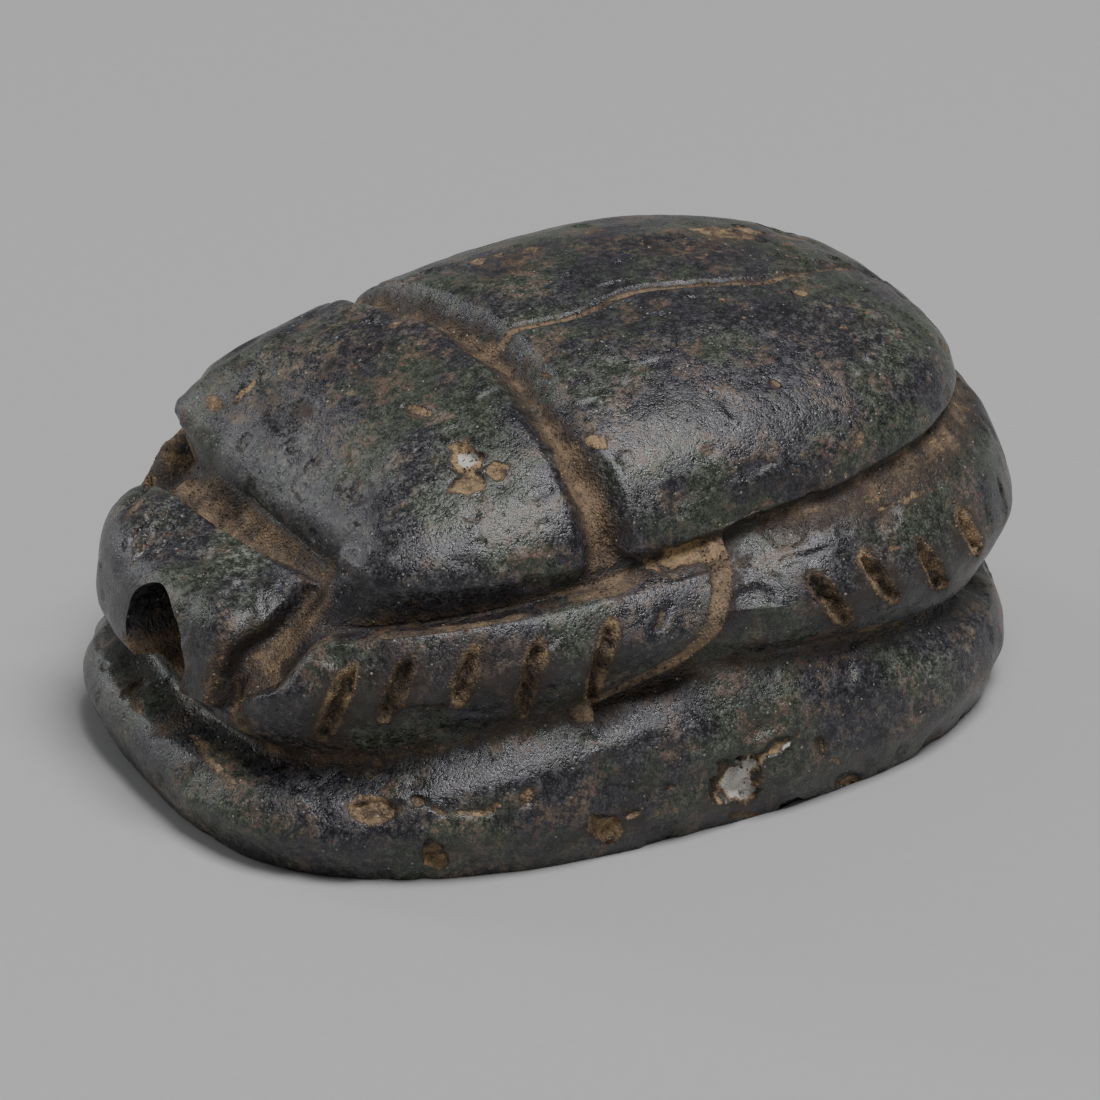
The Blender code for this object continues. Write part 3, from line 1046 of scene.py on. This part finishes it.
def mouth_cutter():
    """The worn mouth under the head, in metres."""
    work = bmesh.new()
    bmesh.ops.create_icosphere(work, subdivisions=5, radius=1)
    mesh = bpy.data.meshes.new("mouth")
    work.to_mesh(mesh)
    work.free()
    points = read_points(mesh) * MOUTH_REACH + MOUTH_PLACE
    points += read_points(mesh, "normal") * (MOUTH_WEAR * layered(points, 0.8, 41, 3))[:, None]
    write_points(mesh, points * MM)
    return mesh


def softened(values, edges, rounds):
    """The rows of values after a number of rounds of averaging with their neighbours."""
    count = len(values)
    first, second = edges.T
    degree = np.bincount(first, minlength=count) + np.bincount(second, minlength=count)
    degree = np.maximum(degree, 1)
    for _ in range(rounds):
        around = [
            np.bincount(first, column[second], count) + np.bincount(second, column[first], count)
            for column in values.T
        ]
        values = 0.4 * values + 0.6 * np.column_stack(around) / degree[:, None]
    return values


def paint(mesh, name, values):
    """Stores a value from 0 to 1 at each point of the mesh."""
    field = mesh.attributes.new(name, "FLOAT", "POINT")
    field.data.foreach_set("value", np.clip(values, 0, 1).astype(np.float32))


def groove_earth_and_recess_shade(points, legs, head):
    """How thickly earth lies in the grooves, the notches and the mouth, with a thin earth put as painted
    shade in the recess behind each front leg.
    """
    level, turn = level_of(points)
    last = len(LEVELS) - 1
    back = fade(level, last - 1, last - 0.3)
    waist = plan_gap(points, WAIST_ACROSS, WAIST_PLACES, False)
    suture = plan_gap(points, SUTURE_PLACES, SUTURE_ACROSS, True)
    behind, within = behind_elbow(points)
    notch = np.min([stroke_gap(points, line) for line in legs], axis=0)
    scratch = np.min([stroke_gap(points, line) for line in head], axis=0)
    mouth = np.linalg.norm((points - MOUTH_PLACE) / MOUTH_REACH, axis=1)
    bore = np.hypot(points[:, 1] - BORE_ASIDE, points[:, 2] - BORE_HEIGHT)
    inside = np.maximum(fade(mouth, 1.3, 1.12), fade(bore, 1.36, 1.24))
    down = fade(points[:, 2], BORE_HEIGHT + 0.2, BORE_HEIGHT - 0.8)

    outside = -inside_head(points)
    collar = band(outside, *COLLAR_BAND) * fade(level, 2.9, 3.8) * fade(level, 8.0, 7.6)
    collar *= fade(outside, -0.06, 0.12)
    collar *= fade(points[:, 0] / half_axes()[0], -0.6, -0.68)
    front = band(level, *FRONT_BAND) * fade(turn, *FRONT_TURNS[:2]) * fade(turn, *FRONT_TURNS[2:])
    hind = band(level, *HIND_BAND) * fade(turn, *HIND_TURNS)
    lower = band(level, *LOWER_BAND) * fade(outside, -0.5, 0.0)
    side = np.abs(points[:, 1]) / half_axes()[1]
    return np.max(
        [
            0.84 * collar,
            0.86 * front,
            0.6 * hind,
            (0.52 + 0.25 * fade(turn, 60, 30)) * lower,
            1.1 * band(behind, *LIP_BAND) * fade(within, 0.05, 0.4),
            # Painted shade: a thin earth darkens the recess behind the front leg's rear edge
            0.22 * fade(behind, 0.0, 0.15) * fade(behind, 1.3, 0.5) * within,
            (0.66 + 0.26 * fade(side, 0.4, 0.75)) * fade(waist, 0.6, 0.12) * back,
            0.95 * fade(suture, 0.16, 0.05) * back,
            0.9 * fade(notch, 0.38, 0.2),
            0.8 * fade(scratch, 0.12, 0.05),
            inside * (0.25 + 0.65 * down),
        ],
        axis=0,
    )


def paint_stone(mesh, caster, legs, head):
    """Works out where earth, bare stone, core, pale films with painted sheen, and stain with painted shade
    show, and stores it in the mesh.
    """
    points = read_points(mesh) / MM
    normals = read_points(mesh, "normal")
    edges = np.empty(len(mesh.edges) * 2, np.int64)
    mesh.edges.foreach_get("vertices", edges)
    edges = edges.reshape(-1, 2)
    close = softened(points, edges, 16)
    wide = softened(close, edges, 110)
    fine_hollow = ((close - points) * normals).sum(axis=1)
    wide_hollow = ((wide - points) * normals).sum(axis=1)
    seen = photo_places(points)

    legs = [line for line in legs if stroke_length(line) > PAINTED_STROKE]
    # The earth includes a thin painted shade in the recess behind the front legs
    earth = groove_earth_and_recess_shade(points, legs, head)
    hollow = 0.45 * fade(wide_hollow, 0.03, 0.16) + 0.35 * fade(fine_hollow, 0.006, 0.03)
    hollow *= 1 - 0.85 * fade(inside_head(points), -0.05, 0.12)
    behind, within = behind_elbow(points)
    recess = fade(behind, 0.0, 0.12) * fade(within, 0.0, 0.3)
    hollow *= 1 - 0.7 * recess * fade(behind, 1.8, 1.2)
    earth = np.maximum(earth, hollow) * (1 + 0.38 * layered(points, 0.9, 51, 3))

    bare = patches(points, seen, caster, BARE_PATCHES, 1.25, 0.7)
    worn = patches(points, seen, caster, WORN_ZONES, 1.1, 0.3)
    worn = np.maximum(worn, 0.28 * fade(layered(points, 3.4, 62, 2), 0.0, 0.5))
    bare = np.maximum(bare, 0.5 * fade(layered(points, 0.6, 61, 3), 0.5, 0.8))
    notch = np.min([stroke_gap(points, line) for line in legs], axis=0)
    bare = np.maximum(bare, 0.62 * fade(notch, 0.36, 0.2))
    # Pale films: real weathering in random patches and on rounded high parts, plus painted sheen in the
    # listed patches and on those high parts
    wear_and_sheen = fade(-wide_hollow, 0.01, 0.09)
    film_and_sheen = patches(points, seen, caster, PALE_FILMS_AND_SHEENS, 1.2, 0.1)
    film_and_sheen = np.maximum(film_and_sheen, 0.4 * fade(layered(points, 2.6, 63, 2), 0.0, 0.7) + 0.25 * wear_and_sheen)
    stain_and_shade = softened(np.column_stack([earth + 0.35 * bare + 0.6 * worn]), edges, 24)[:, 0]
    # Painted shade: the recess behind each front leg's rear edge is darkened with the stain colour
    stain_and_shade = np.maximum(stain_and_shade, 0.8 * recess * fade(behind, 0.95, 0.3))
    paint(mesh, "earth", earth)
    paint(mesh, "stain_and_shade", 1.25 * stain_and_shade)
    paint(mesh, "bare", bare)
    paint(mesh, "worn", worn)
    paint(mesh, "core", patches(points, seen, caster, WHITE_CORES, 1.2, 0.8))
    paint(mesh, "film_and_sheen", film_and_sheen)
    paint(mesh, "grit", fade(earth + 0.3 * bare, 0.45, 1.0))


# Materials


def colour(value):
    """The colour with its alpha."""
    return (*value, 1.0)


def mixed(tree, factor, first, second, blend="MIX"):
    """Mixes two colours, from sockets or plain values."""
    made = node(tree, "ShaderNodeMix", data_type="RGBA", blend_type=blend)
    for key, value in ((0, factor), (6, first), (7, second)):
        if isinstance(value, bpy.types.NodeSocket):
            tree.links.new(value, made.inputs[key])
        else:
            made.inputs[key].default_value = value
    return made.outputs[2]


def noise_value(tree, place, size, detail=3.0, roughness=0.55):
    """Noise around 0.5 with lumps of about this size in millimetres."""
    made = node(
        tree,
        "ShaderNodeTexNoise",
        {"Vector": place, "Scale": 1.0 / size, "Detail": detail, "Roughness": roughness},
    )
    return made.outputs[0]


def torn_mask_group():
    """Turns a soft painted amount into a patch with a torn, crumbling edge."""
    tree, given, result = new_tree(
        "Torn edge",
        "ShaderNodeTree",
        (
            ("Amount", "NodeSocketFloat", 0.0),
            ("Place", "NodeSocketVector", None),
            ("Size", "NodeSocketFloat", 0.3),
            ("Tear", "NodeSocketFloat", 0.6),
            ("Softness", "NodeSocketFloat", 0.08),
        ),
        (("Mask", "NodeSocketFloat", None),),
    )
    scale = maths(tree, "DIVIDE", 1.0, given.outputs["Size"])
    level = given.outputs["Amount"]
    for finer, share in ((1.0, 2.0), (5.0, 1.1)):
        rough = node(
            tree,
            "ShaderNodeTexNoise",
            {
                "Vector": given.outputs["Place"],
                "Scale": maths(tree, "MULTIPLY", scale, finer),
                "Detail": 2.0,
                "Roughness": 0.6,
            },
        )
        lift = maths(tree, "MULTIPLY", maths(tree, "SUBTRACT", rough.outputs[0], 0.5), share)
        level = maths(tree, "MULTIPLY_ADD", lift, given.outputs["Tear"], level)
    low = maths(tree, "SUBTRACT", 0.5, given.outputs["Softness"])
    high = maths(tree, "ADD", 0.5, given.outputs["Softness"])
    tree.links.new(ramp(tree, level, low, high), result.inputs["Mask"])
    return tree


def sand_group():
    """Sandy grain: a mottled shade, and a height for the bump."""
    tree, given, result = new_tree(
        "Sandy grain",
        "ShaderNodeTree",
        (
            ("Place", "NodeSocketVector", None),
            ("Dark", "NodeSocketColor", (0.1, 0.06, 0.03, 1)),
            ("Light", "NodeSocketColor", (0.4, 0.28, 0.15, 1)),
            ("Grain Size", "NodeSocketFloat", 0.09),
            ("Paleness", "NodeSocketFloat", 0.5),
        ),
        (("Color", "NodeSocketColor", None), ("Height", "NodeSocketFloat", None)),
    )
    scale = maths(tree, "DIVIDE", 1.0, given.outputs["Grain Size"])
    grains = node(tree, "ShaderNodeTexVoronoi", {"Vector": given.outputs["Place"], "Scale": scale})
    shade = node(tree, "ShaderNodeSeparateColor", {0: grains.outputs["Color"]}).outputs[0]
    cloud = noise_value(tree, given.outputs["Place"], 0.6, 3.0, 0.68)
    level = maths(tree, "MULTIPLY_ADD", shade, 0.4, maths(tree, "MULTIPLY", cloud, 2.6))
    level = maths(tree, "ADD", level, given.outputs["Paleness"])
    level = ramp(tree, level, 1.6, 2.95)
    tree.links.new(mixed(tree, level, given.outputs["Dark"], given.outputs["Light"]), result.inputs["Color"])
    bump = maths(tree, "SUBTRACT", 1.0, grains.outputs["Distance"])
    tree.links.new(bump, result.inputs["Height"])
    return tree


def placed_group(tree, made, inputs):
    """Places a shader node group and sets or links its inputs."""
    placed = tree.nodes.new("ShaderNodeGroup")
    placed.node_tree = made
    for key, value in inputs.items():
        if isinstance(value, bpy.types.NodeSocket):
            tree.links.new(value, placed.inputs[key])
        else:
            placed.inputs[key].default_value = value
    return placed


def torn_mask(tree, amount, place, size, tear, softness):
    """A patch with a torn edge from a soft painted amount."""
    made = bpy.data.node_groups.get("Torn edge") or torn_mask_group()
    inputs = {"Amount": amount, "Place": place, "Size": size, "Tear": tear, "Softness": softness}
    return placed_group(tree, made, inputs).outputs["Mask"]


def sandy(tree, place, dark, light, grain, paleness):
    """Sandy grain between two colours."""
    made = bpy.data.node_groups.get("Sandy grain") or sand_group()
    inputs = {
        "Place": place,
        "Dark": colour(dark),
        "Light": colour(light),
        "Grain Size": grain,
        "Paleness": paleness,
    }
    return placed_group(tree, made, inputs)


def new_material(name):
    """A material with its surface node, and the place on the piece in millimetres."""
    material = bpy.data.materials.new(name)
    material.use_nodes = True
    tree = material.node_tree
    surface = tree.nodes["Principled BSDF"]
    where = node(tree, "ShaderNodeTexCoord").outputs["Object"]
    place = node(tree, "ShaderNodeVectorMath", {0: where, "Scale": 1 / MM}, operation="SCALE").outputs[0]
    return material, tree, surface, place


def painted(tree, name):
    """A value that is stored in the mesh."""
    return node(tree, "ShaderNodeAttribute", attribute_name=name).outputs["Fac"]


def glaze_colour(tree, place, middle, small, fine):
    """Mottled slate, green and brown, with pale films that are partly painted sheen, and fine speckle."""
    hues = settings().colours
    broad = noise_value(tree, place, BROAD, 4.0, 0.65)
    tufts = noise_value(tree, place, TUFT, 2.0, 0.65)
    body = mixed(tree, ramp(tree, broad, 0.45, 0.57), colour(hues.slate), colour(hues.green))
    body = mixed(tree, maths(tree, "MULTIPLY", ramp(tree, tufts, 0.52, 0.64), 0.5), body, colour(hues.green))
    brown = maths(tree, "MULTIPLY", ramp(tree, middle, 0.5, 0.62), ramp(tree, small, 0.4, 0.56))
    body = mixed(tree, brown, body, colour(hues.brown))
    # Pale films: partly weathering of the glaze, partly painted sheen
    film_and_sheen = maths(tree, "MULTIPLY_ADD", fine, 0.8, maths(tree, "MULTIPLY", small, 0.9))
    film_and_sheen = ramp(tree, film_and_sheen, 0.8, 1.02)
    film_and_sheen = maths(tree, "MULTIPLY", film_and_sheen, maths(tree, "MULTIPLY_ADD", painted(tree, "film_and_sheen"), 0.62, 0.04))
    body = mixed(tree, film_and_sheen, body, colour(hues.bloom_and_sheen))
    shade = maths(tree, "MULTIPLY_ADD", fine, FINE_SHADE, SHADE_START)
    for lumps, share in ((small, SMALL_SHADE), (broad, BROAD_SHADE), (middle, MIDDLE_SHADE)):
        shade = maths(tree, "MULTIPLY_ADD", lumps, share, shade)
    shade = maths(tree, "MAXIMUM", shade, DARKEST)
    shade_colour = node(tree, "ShaderNodeCombineColor", {0: shade, 1: shade, 2: shade}).outputs[0]
    return mixed(tree, 1.0, body, shade_colour, "MULTIPLY")


def pale_specks_and_glints(tree, place):
    """Small scattered pale crumbs, partly painted glints, each cell of the pattern holding at most one."""
    cells = node(tree, "ShaderNodeTexVoronoi", {"Vector": place, "Scale": 5.5})
    chance = node(tree, "ShaderNodeSeparateColor", {0: cells.outputs["Color"]})
    size = maths(tree, "MULTIPLY_ADD", chance.outputs[1], 0.13, 0.06)
    spot = ramp(tree, cells.outputs["Distance"], size, maths(tree, "MULTIPLY", size, 0.6))
    return maths(tree, "MULTIPLY", spot, ramp(tree, chance.outputs[0], 0.62, 0.66))


def stone_material():
    """Dark glaze with pale films that are partly painted sheen, stain that is partly painted shade, bare tan
    patches, a white core, pale specks that are partly painted glints, and earth in the hollows.
    """
    hues = settings().colours
    material, tree, surface, place = new_material("dark glazed stone")
    surface.inputs["IOR"].default_value = 1.6
    middle = noise_value(tree, place, MIDDLE, 3.0, 0.6)
    small = noise_value(tree, place, SMALL, 3.0, 0.7)
    fine = noise_value(tree, place, FINE_GRAIN, 2.0, 0.7)
    body = glaze_colour(tree, place, middle, small, fine)

    # Stain, with painted shade in the recess behind the front legs
    stain_and_shade = torn_mask(tree, painted(tree, "stain_and_shade"), place, 0.7, 0.5, 0.35)
    body = mixed(tree, maths(tree, "MULTIPLY", stain_and_shade, 0.85), body, colour(hues.stain_and_shade))
    crumbs = torn_mask(tree, painted(tree, "worn"), place, 0.2, 0.8, 0.09)
    crumb_colour = sandy(tree, place, hues.brown, hues.tan, 0.04, 0.35).outputs["Color"]
    body = mixed(tree, maths(tree, "MULTIPLY", crumbs, 0.75), body, crumb_colour)
    rim = torn_mask(tree, maths(tree, "ADD", painted(tree, "bare"), 0.1), place, TORN_SIZE, 0.5, 0.1)
    body = mixed(tree, maths(tree, "MULTIPLY", rim, 0.8), body, colour(hues.stain_and_shade))
    earth = torn_mask(tree, painted(tree, "earth"), place, 0.35, 0.62, 0.22)
    depth = maths(tree, "MULTIPLY_ADD", painted(tree, "earth"), 1.1, -0.25)
    soil = sandy(tree, place, hues.earth, hues.sand, 0.05, depth)
    bare = torn_mask(tree, painted(tree, "bare"), place, TORN_SIZE, 0.5, 0.1)
    pale = [1.2 * part for part in hues.tan]
    stone = sandy(tree, place, hues.earth, pale, 0.045, maths(tree, "MULTIPLY", painted(tree, "bare"), 0.95))
    white = torn_mask(tree, painted(tree, "core"), place, 0.5, 0.3, 0.2)

    tint = mixed(tree, earth, body, soil.outputs["Color"])
    tint = mixed(tree, bare, tint, stone.outputs["Color"])
    tint = mixed(tree, white, tint, colour(hues.core))
    # Pale specks: partly crumbs, partly painted glints
    specks_and_glints = maths(tree, "MULTIPLY", pale_specks_and_glints(tree, place), 0.6)
    tint = mixed(tree, specks_and_glints, tint, SPECK_AND_GLINT_COLOUR)
    tree.links.new(tint, surface.inputs["Base Color"])

    loose = maths(tree, "MAXIMUM", earth, bare)
    matt = maths(tree, "MAXIMUM", loose, maths(tree, "MULTIPLY", stain_and_shade, 0.6))
    gloss = maths(tree, "MULTIPLY_ADD", small, 0.8, maths(tree, "MULTIPLY_ADD", fine, 0.6, -0.36))
    gloss = maths(tree, "MAXIMUM", gloss, 0.16)
    tree.links.new(maths(tree, "MULTIPLY_ADD", matt, 0.42, gloss), surface.inputs["Roughness"])

    pits = node(tree, "ShaderNodeTexVoronoi", {"Vector": place, "Scale": 4.4})
    pit = ramp(tree, pits.outputs["Distance"], 0.24, 0.05)
    height = maths(tree, "MULTIPLY_ADD", fine, 0.6, maths(tree, "MULTIPLY", small, 0.65))
    height = maths(tree, "MULTIPLY_ADD", pit, -0.4, height)
    height = maths(tree, "MULTIPLY_ADD", maths(tree, "MULTIPLY", soil.outputs["Height"], loose), 0.8, height)
    height = maths(tree, "MULTIPLY_ADD", earth, 0.5, height)
    height = maths(tree, "MULTIPLY_ADD", bare, -0.7, height)
    bump = node(tree, "ShaderNodeBump", {"Strength": 0.75, "Distance": BUMP_DEPTH * MM, "Height": height})
    tree.links.new(bump.outputs[0], surface.inputs["Normal"])
    return material


def grit_material():
    """Loose sandy earth."""
    hues = settings().colours
    material, tree, surface, place = new_material("sandy earth")
    pale = [1.5 * part for part in hues.tan]
    soil = sandy(tree, place, hues.earth, pale, 0.06, 0.4)
    tree.links.new(soil.outputs["Color"], surface.inputs["Base Color"])
    surface.inputs["Roughness"].default_value = 0.9
    return material


def floor_material():
    """Plain matt floor."""
    material, tree, surface, place = new_material("plain floor")
    tone = colour(settings().stage.floor)
    darker = colour([0.94 * c for c in settings().stage.floor])
    fine = noise_value(tree, place, 0.35, 3.0)
    tree.links.new(mixed(tree, fine, darker, tone), surface.inputs["Base Color"])
    surface.inputs["Roughness"].default_value = 0.85
    bump = node(tree, "ShaderNodeBump", {"Strength": 0.2, "Distance": 0.03 * MM, "Height": fine})
    tree.links.new(bump.outputs[0], surface.inputs["Normal"])
    return material


# Operators


class SCARAB_OT_stone(bpy.types.Operator):
    """Carve the stone, work out its earth and chips, and colour it"""

    bl_idname = "scarab.stone"
    bl_label = "Carved stone"

    def execute(self, context):
        remove_piece("carved_stone")
        size = settings().stone
        material = stone_material()
        caster = Caster()
        legs, head = strokes_on(caster)
        mesh = stone_net(FINE)
        points = read_points(mesh)
        points += read_points(mesh, "normal") * carve(points, caster)[:, None]
        points[:, 2] = np.maximum(points[:, 2], 0)
        write_points(mesh, points * MM)
        block = new_object("stone_block", mesh)

        helpers = []
        for name, lines, share in (("leg_strokes", legs, 1.0), ("head_strokes", head, HEAD_STROKE_SHARE)):
            stroke_mesh = bpy.data.meshes.new(name)
            joined = np.concatenate(lines) * MM
            counts = np.cumsum([0] + [len(line) for line in lines])
            runs = [(i, i + 1) for a, b in zip(counts[:-1], counts[1:]) for i in range(a, b - 1)]
            stroke_mesh.from_pydata([tuple(p) for p in joined], runs, [])
            fullness = [min(1.0, stroke_length(line) / FULL_STROKE) for line in lines]
            paint(stroke_mesh, "taper", np.concatenate([taper(STROKE_STEPS) * f for f in fullness]))
            helper = new_object(name, stroke_mesh)
            helpers.append(helper)
            step = block.modifiers.new(name, "NODES")
            step.node_group = bpy.data.node_groups.get("Cut strokes") or stroke_tree()
            set_input(step, "Strokes", helper)
            set_input(step, "Width", size.notch_width * share)
            set_input(step, "Depth", size.notch_depth * share)
            set_input(step, "Material", material)
        for name, tool in (("bore", bore_cutter()), ("mouth", mouth_cutter())):
            tool.materials.append(material)
            helper = new_object(name, tool)
            helpers.append(helper)
            step = block.modifiers.new(name, "BOOLEAN")
            step.operation = "DIFFERENCE"
            step.solver = "MANIFOLD"
            step.object = helper
        fewer = block.modifiers.new("fewer", "DECIMATE")
        fewer.ratio = STONE_TRIANGLES / (2 * NET_SEGMENTS * sum(NET_ROWS) * FINE**2)
        carved = finished_mesh(block, "carved_stone")
        for helper in helpers + [block]:
            bpy.data.objects.remove(helper)
        carved.materials.clear()
        carved.materials.append(material)
        carved.polygons.foreach_set("material_index", np.zeros(len(carved.polygons), np.int32))
        paint_stone(carved, caster, legs, head)
        carved.shade_smooth()
        carved.set_sharp_from_angle(angle=math.radians(55))
        stone = new_object("carved_stone", carved)
        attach(stone, "root")
        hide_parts("scarab")
        return {"FINISHED"}


class SCARAB_OT_grit(bpy.types.Operator):
    """Scatter sandy grains in the hollows of the carving"""

    bl_idname = "scarab.grit"
    bl_label = "Earth grains"

    def execute(self, context):
        remove_piece("earth_grains")
        source = bpy.data.objects.get("carved_stone")
        if source is None:
            raise RuntimeError("make the carved stone first")
        grit = settings().grit
        holder = new_object("grit_holder", source.data.copy())
        step = holder.modifiers.new("grit", "NODES")
        step.node_group = bpy.data.node_groups.get("Scatter grit") or grit_tree()
        set_input(step, "Size", grit.size)
        set_input(step, "Density", grit.density)
        set_input(step, "Seed", grit.seed)
        set_input(step, "Material", grit_material())
        mesh = finished_mesh(holder, "earth_grains")
        bpy.data.objects.remove(holder)
        grains = new_object("earth_grains", mesh)
        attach(grains, "root")
        return {"FINISHED"}


class SCARAB_OT_stage(bpy.types.Operator):
    """Lay the floor and set the light and the camera"""

    bl_idname = "scarab.stage"
    bl_label = "Floor, light and camera"

    def execute(self, context):
        scene = context.scene
        stage = settings().stage
        work = bmesh.new()
        bmesh.ops.create_grid(work, x_segments=2, y_segments=2, size=1.5)
        mesh = bpy.data.meshes.new("floor")
        work.to_mesh(mesh)
        work.free()
        mesh.materials.append(floor_material())
        new_object("floor", mesh)

        world = bpy.data.worlds.new("even light")
        world.use_nodes = True
        backdrop = world.node_tree.nodes["Background"]
        backdrop.inputs["Color"].default_value = (0.97, 0.98, 1.0, 1.0)
        backdrop.inputs["Strength"].default_value = stage.sky
        scene.world = world

        lights = (
            ("overhead", (0.03, -0.11, 0.345), 0.16, stage.overhead, (0.98, 0.97, 1.0)),
            ("back left", (-0.19, 0.31, 0.12), 0.13, stage.back_left, (0.97, 0.98, 1.0)),
        )
        for name, place, width, power, tint in lights:
            lamp = bpy.data.lights.new(name, "AREA")
            lamp.size = width
            lamp.energy = power
            lamp.color = tint
            made = bpy.data.objects.new(name, lamp)
            made.location = place
            made.rotation_euler = (-Vector(place)).to_track_quat("-Z", "Y").to_euler()
            scene.collection.objects.link(made)

        lens = bpy.data.cameras.new("photo view")
        camera = bpy.data.objects.new("photo view", lens)
        scene.collection.objects.link(camera)
        scene.camera = camera
        middle = PHOTO_SIZE / 2
        across = (middle - ORIGIN_PIXEL[0]) / PIXELS_PER_MM
        up = (ORIGIN_PIXEL[1] - middle) / PIXELS_PER_MM
        target = Vector(RIGHT * across + UP * up) * MM
        camera.location = Vector(BACK) * CAMERA_AWAY * MM
        camera.rotation_euler = (target - camera.location).to_track_quat("-Z", "Y").to_euler()
        lens.sensor_width = SENSOR
        lens.lens = SENSOR * PIXELS_PER_MM * CAMERA_AWAY / PHOTO_SIZE
        lens.clip_start = 0.001
        lens.clip_end = 10
        return {"FINISHED"}


class SCARAB_PT_panel(bpy.types.Panel):
    """Settings and makers of the amulet"""

    bl_idname = "SCARAB_PT_panel"
    bl_label = "Scarab amulet"
    bl_space_type = "VIEW_3D"
    bl_region_type = "UI"
    bl_category = "Scarab"

    def draw(self, context):
        layout = self.layout
        whole = context.scene.scarab
        for part in (whole.stone, whole.colours, whole.grit, whole.stage):
            box = layout.box()
            for name in part.__annotations__:
                box.prop(part, name)
        for maker in (SCARAB_OT_stone, SCARAB_OT_grit, SCARAB_OT_stage):
            layout.operator(maker.bl_idname)


CLASSES = (
    StoneSettings,
    ColourSettings,
    GritSettings,
    StageSettings,
    ScarabSettings,
    SCARAB_OT_stone,
    SCARAB_OT_grit,
    SCARAB_OT_stage,
    SCARAB_PT_panel,
)


def register():
    for made in CLASSES:
        bpy.utils.register_class(made)
    bpy.types.Scene.scarab = bpy.props.PointerProperty(type=ScarabSettings)


def unregister():
    del bpy.types.Scene.scarab
    for made in reversed(CLASSES):
        bpy.utils.unregister_class(made)


def main():
    register()
    bpy.ops.scarab.stone()
    bpy.ops.scarab.grit()
    bpy.ops.scarab.stage()


if __name__ == "__main__":
    main()
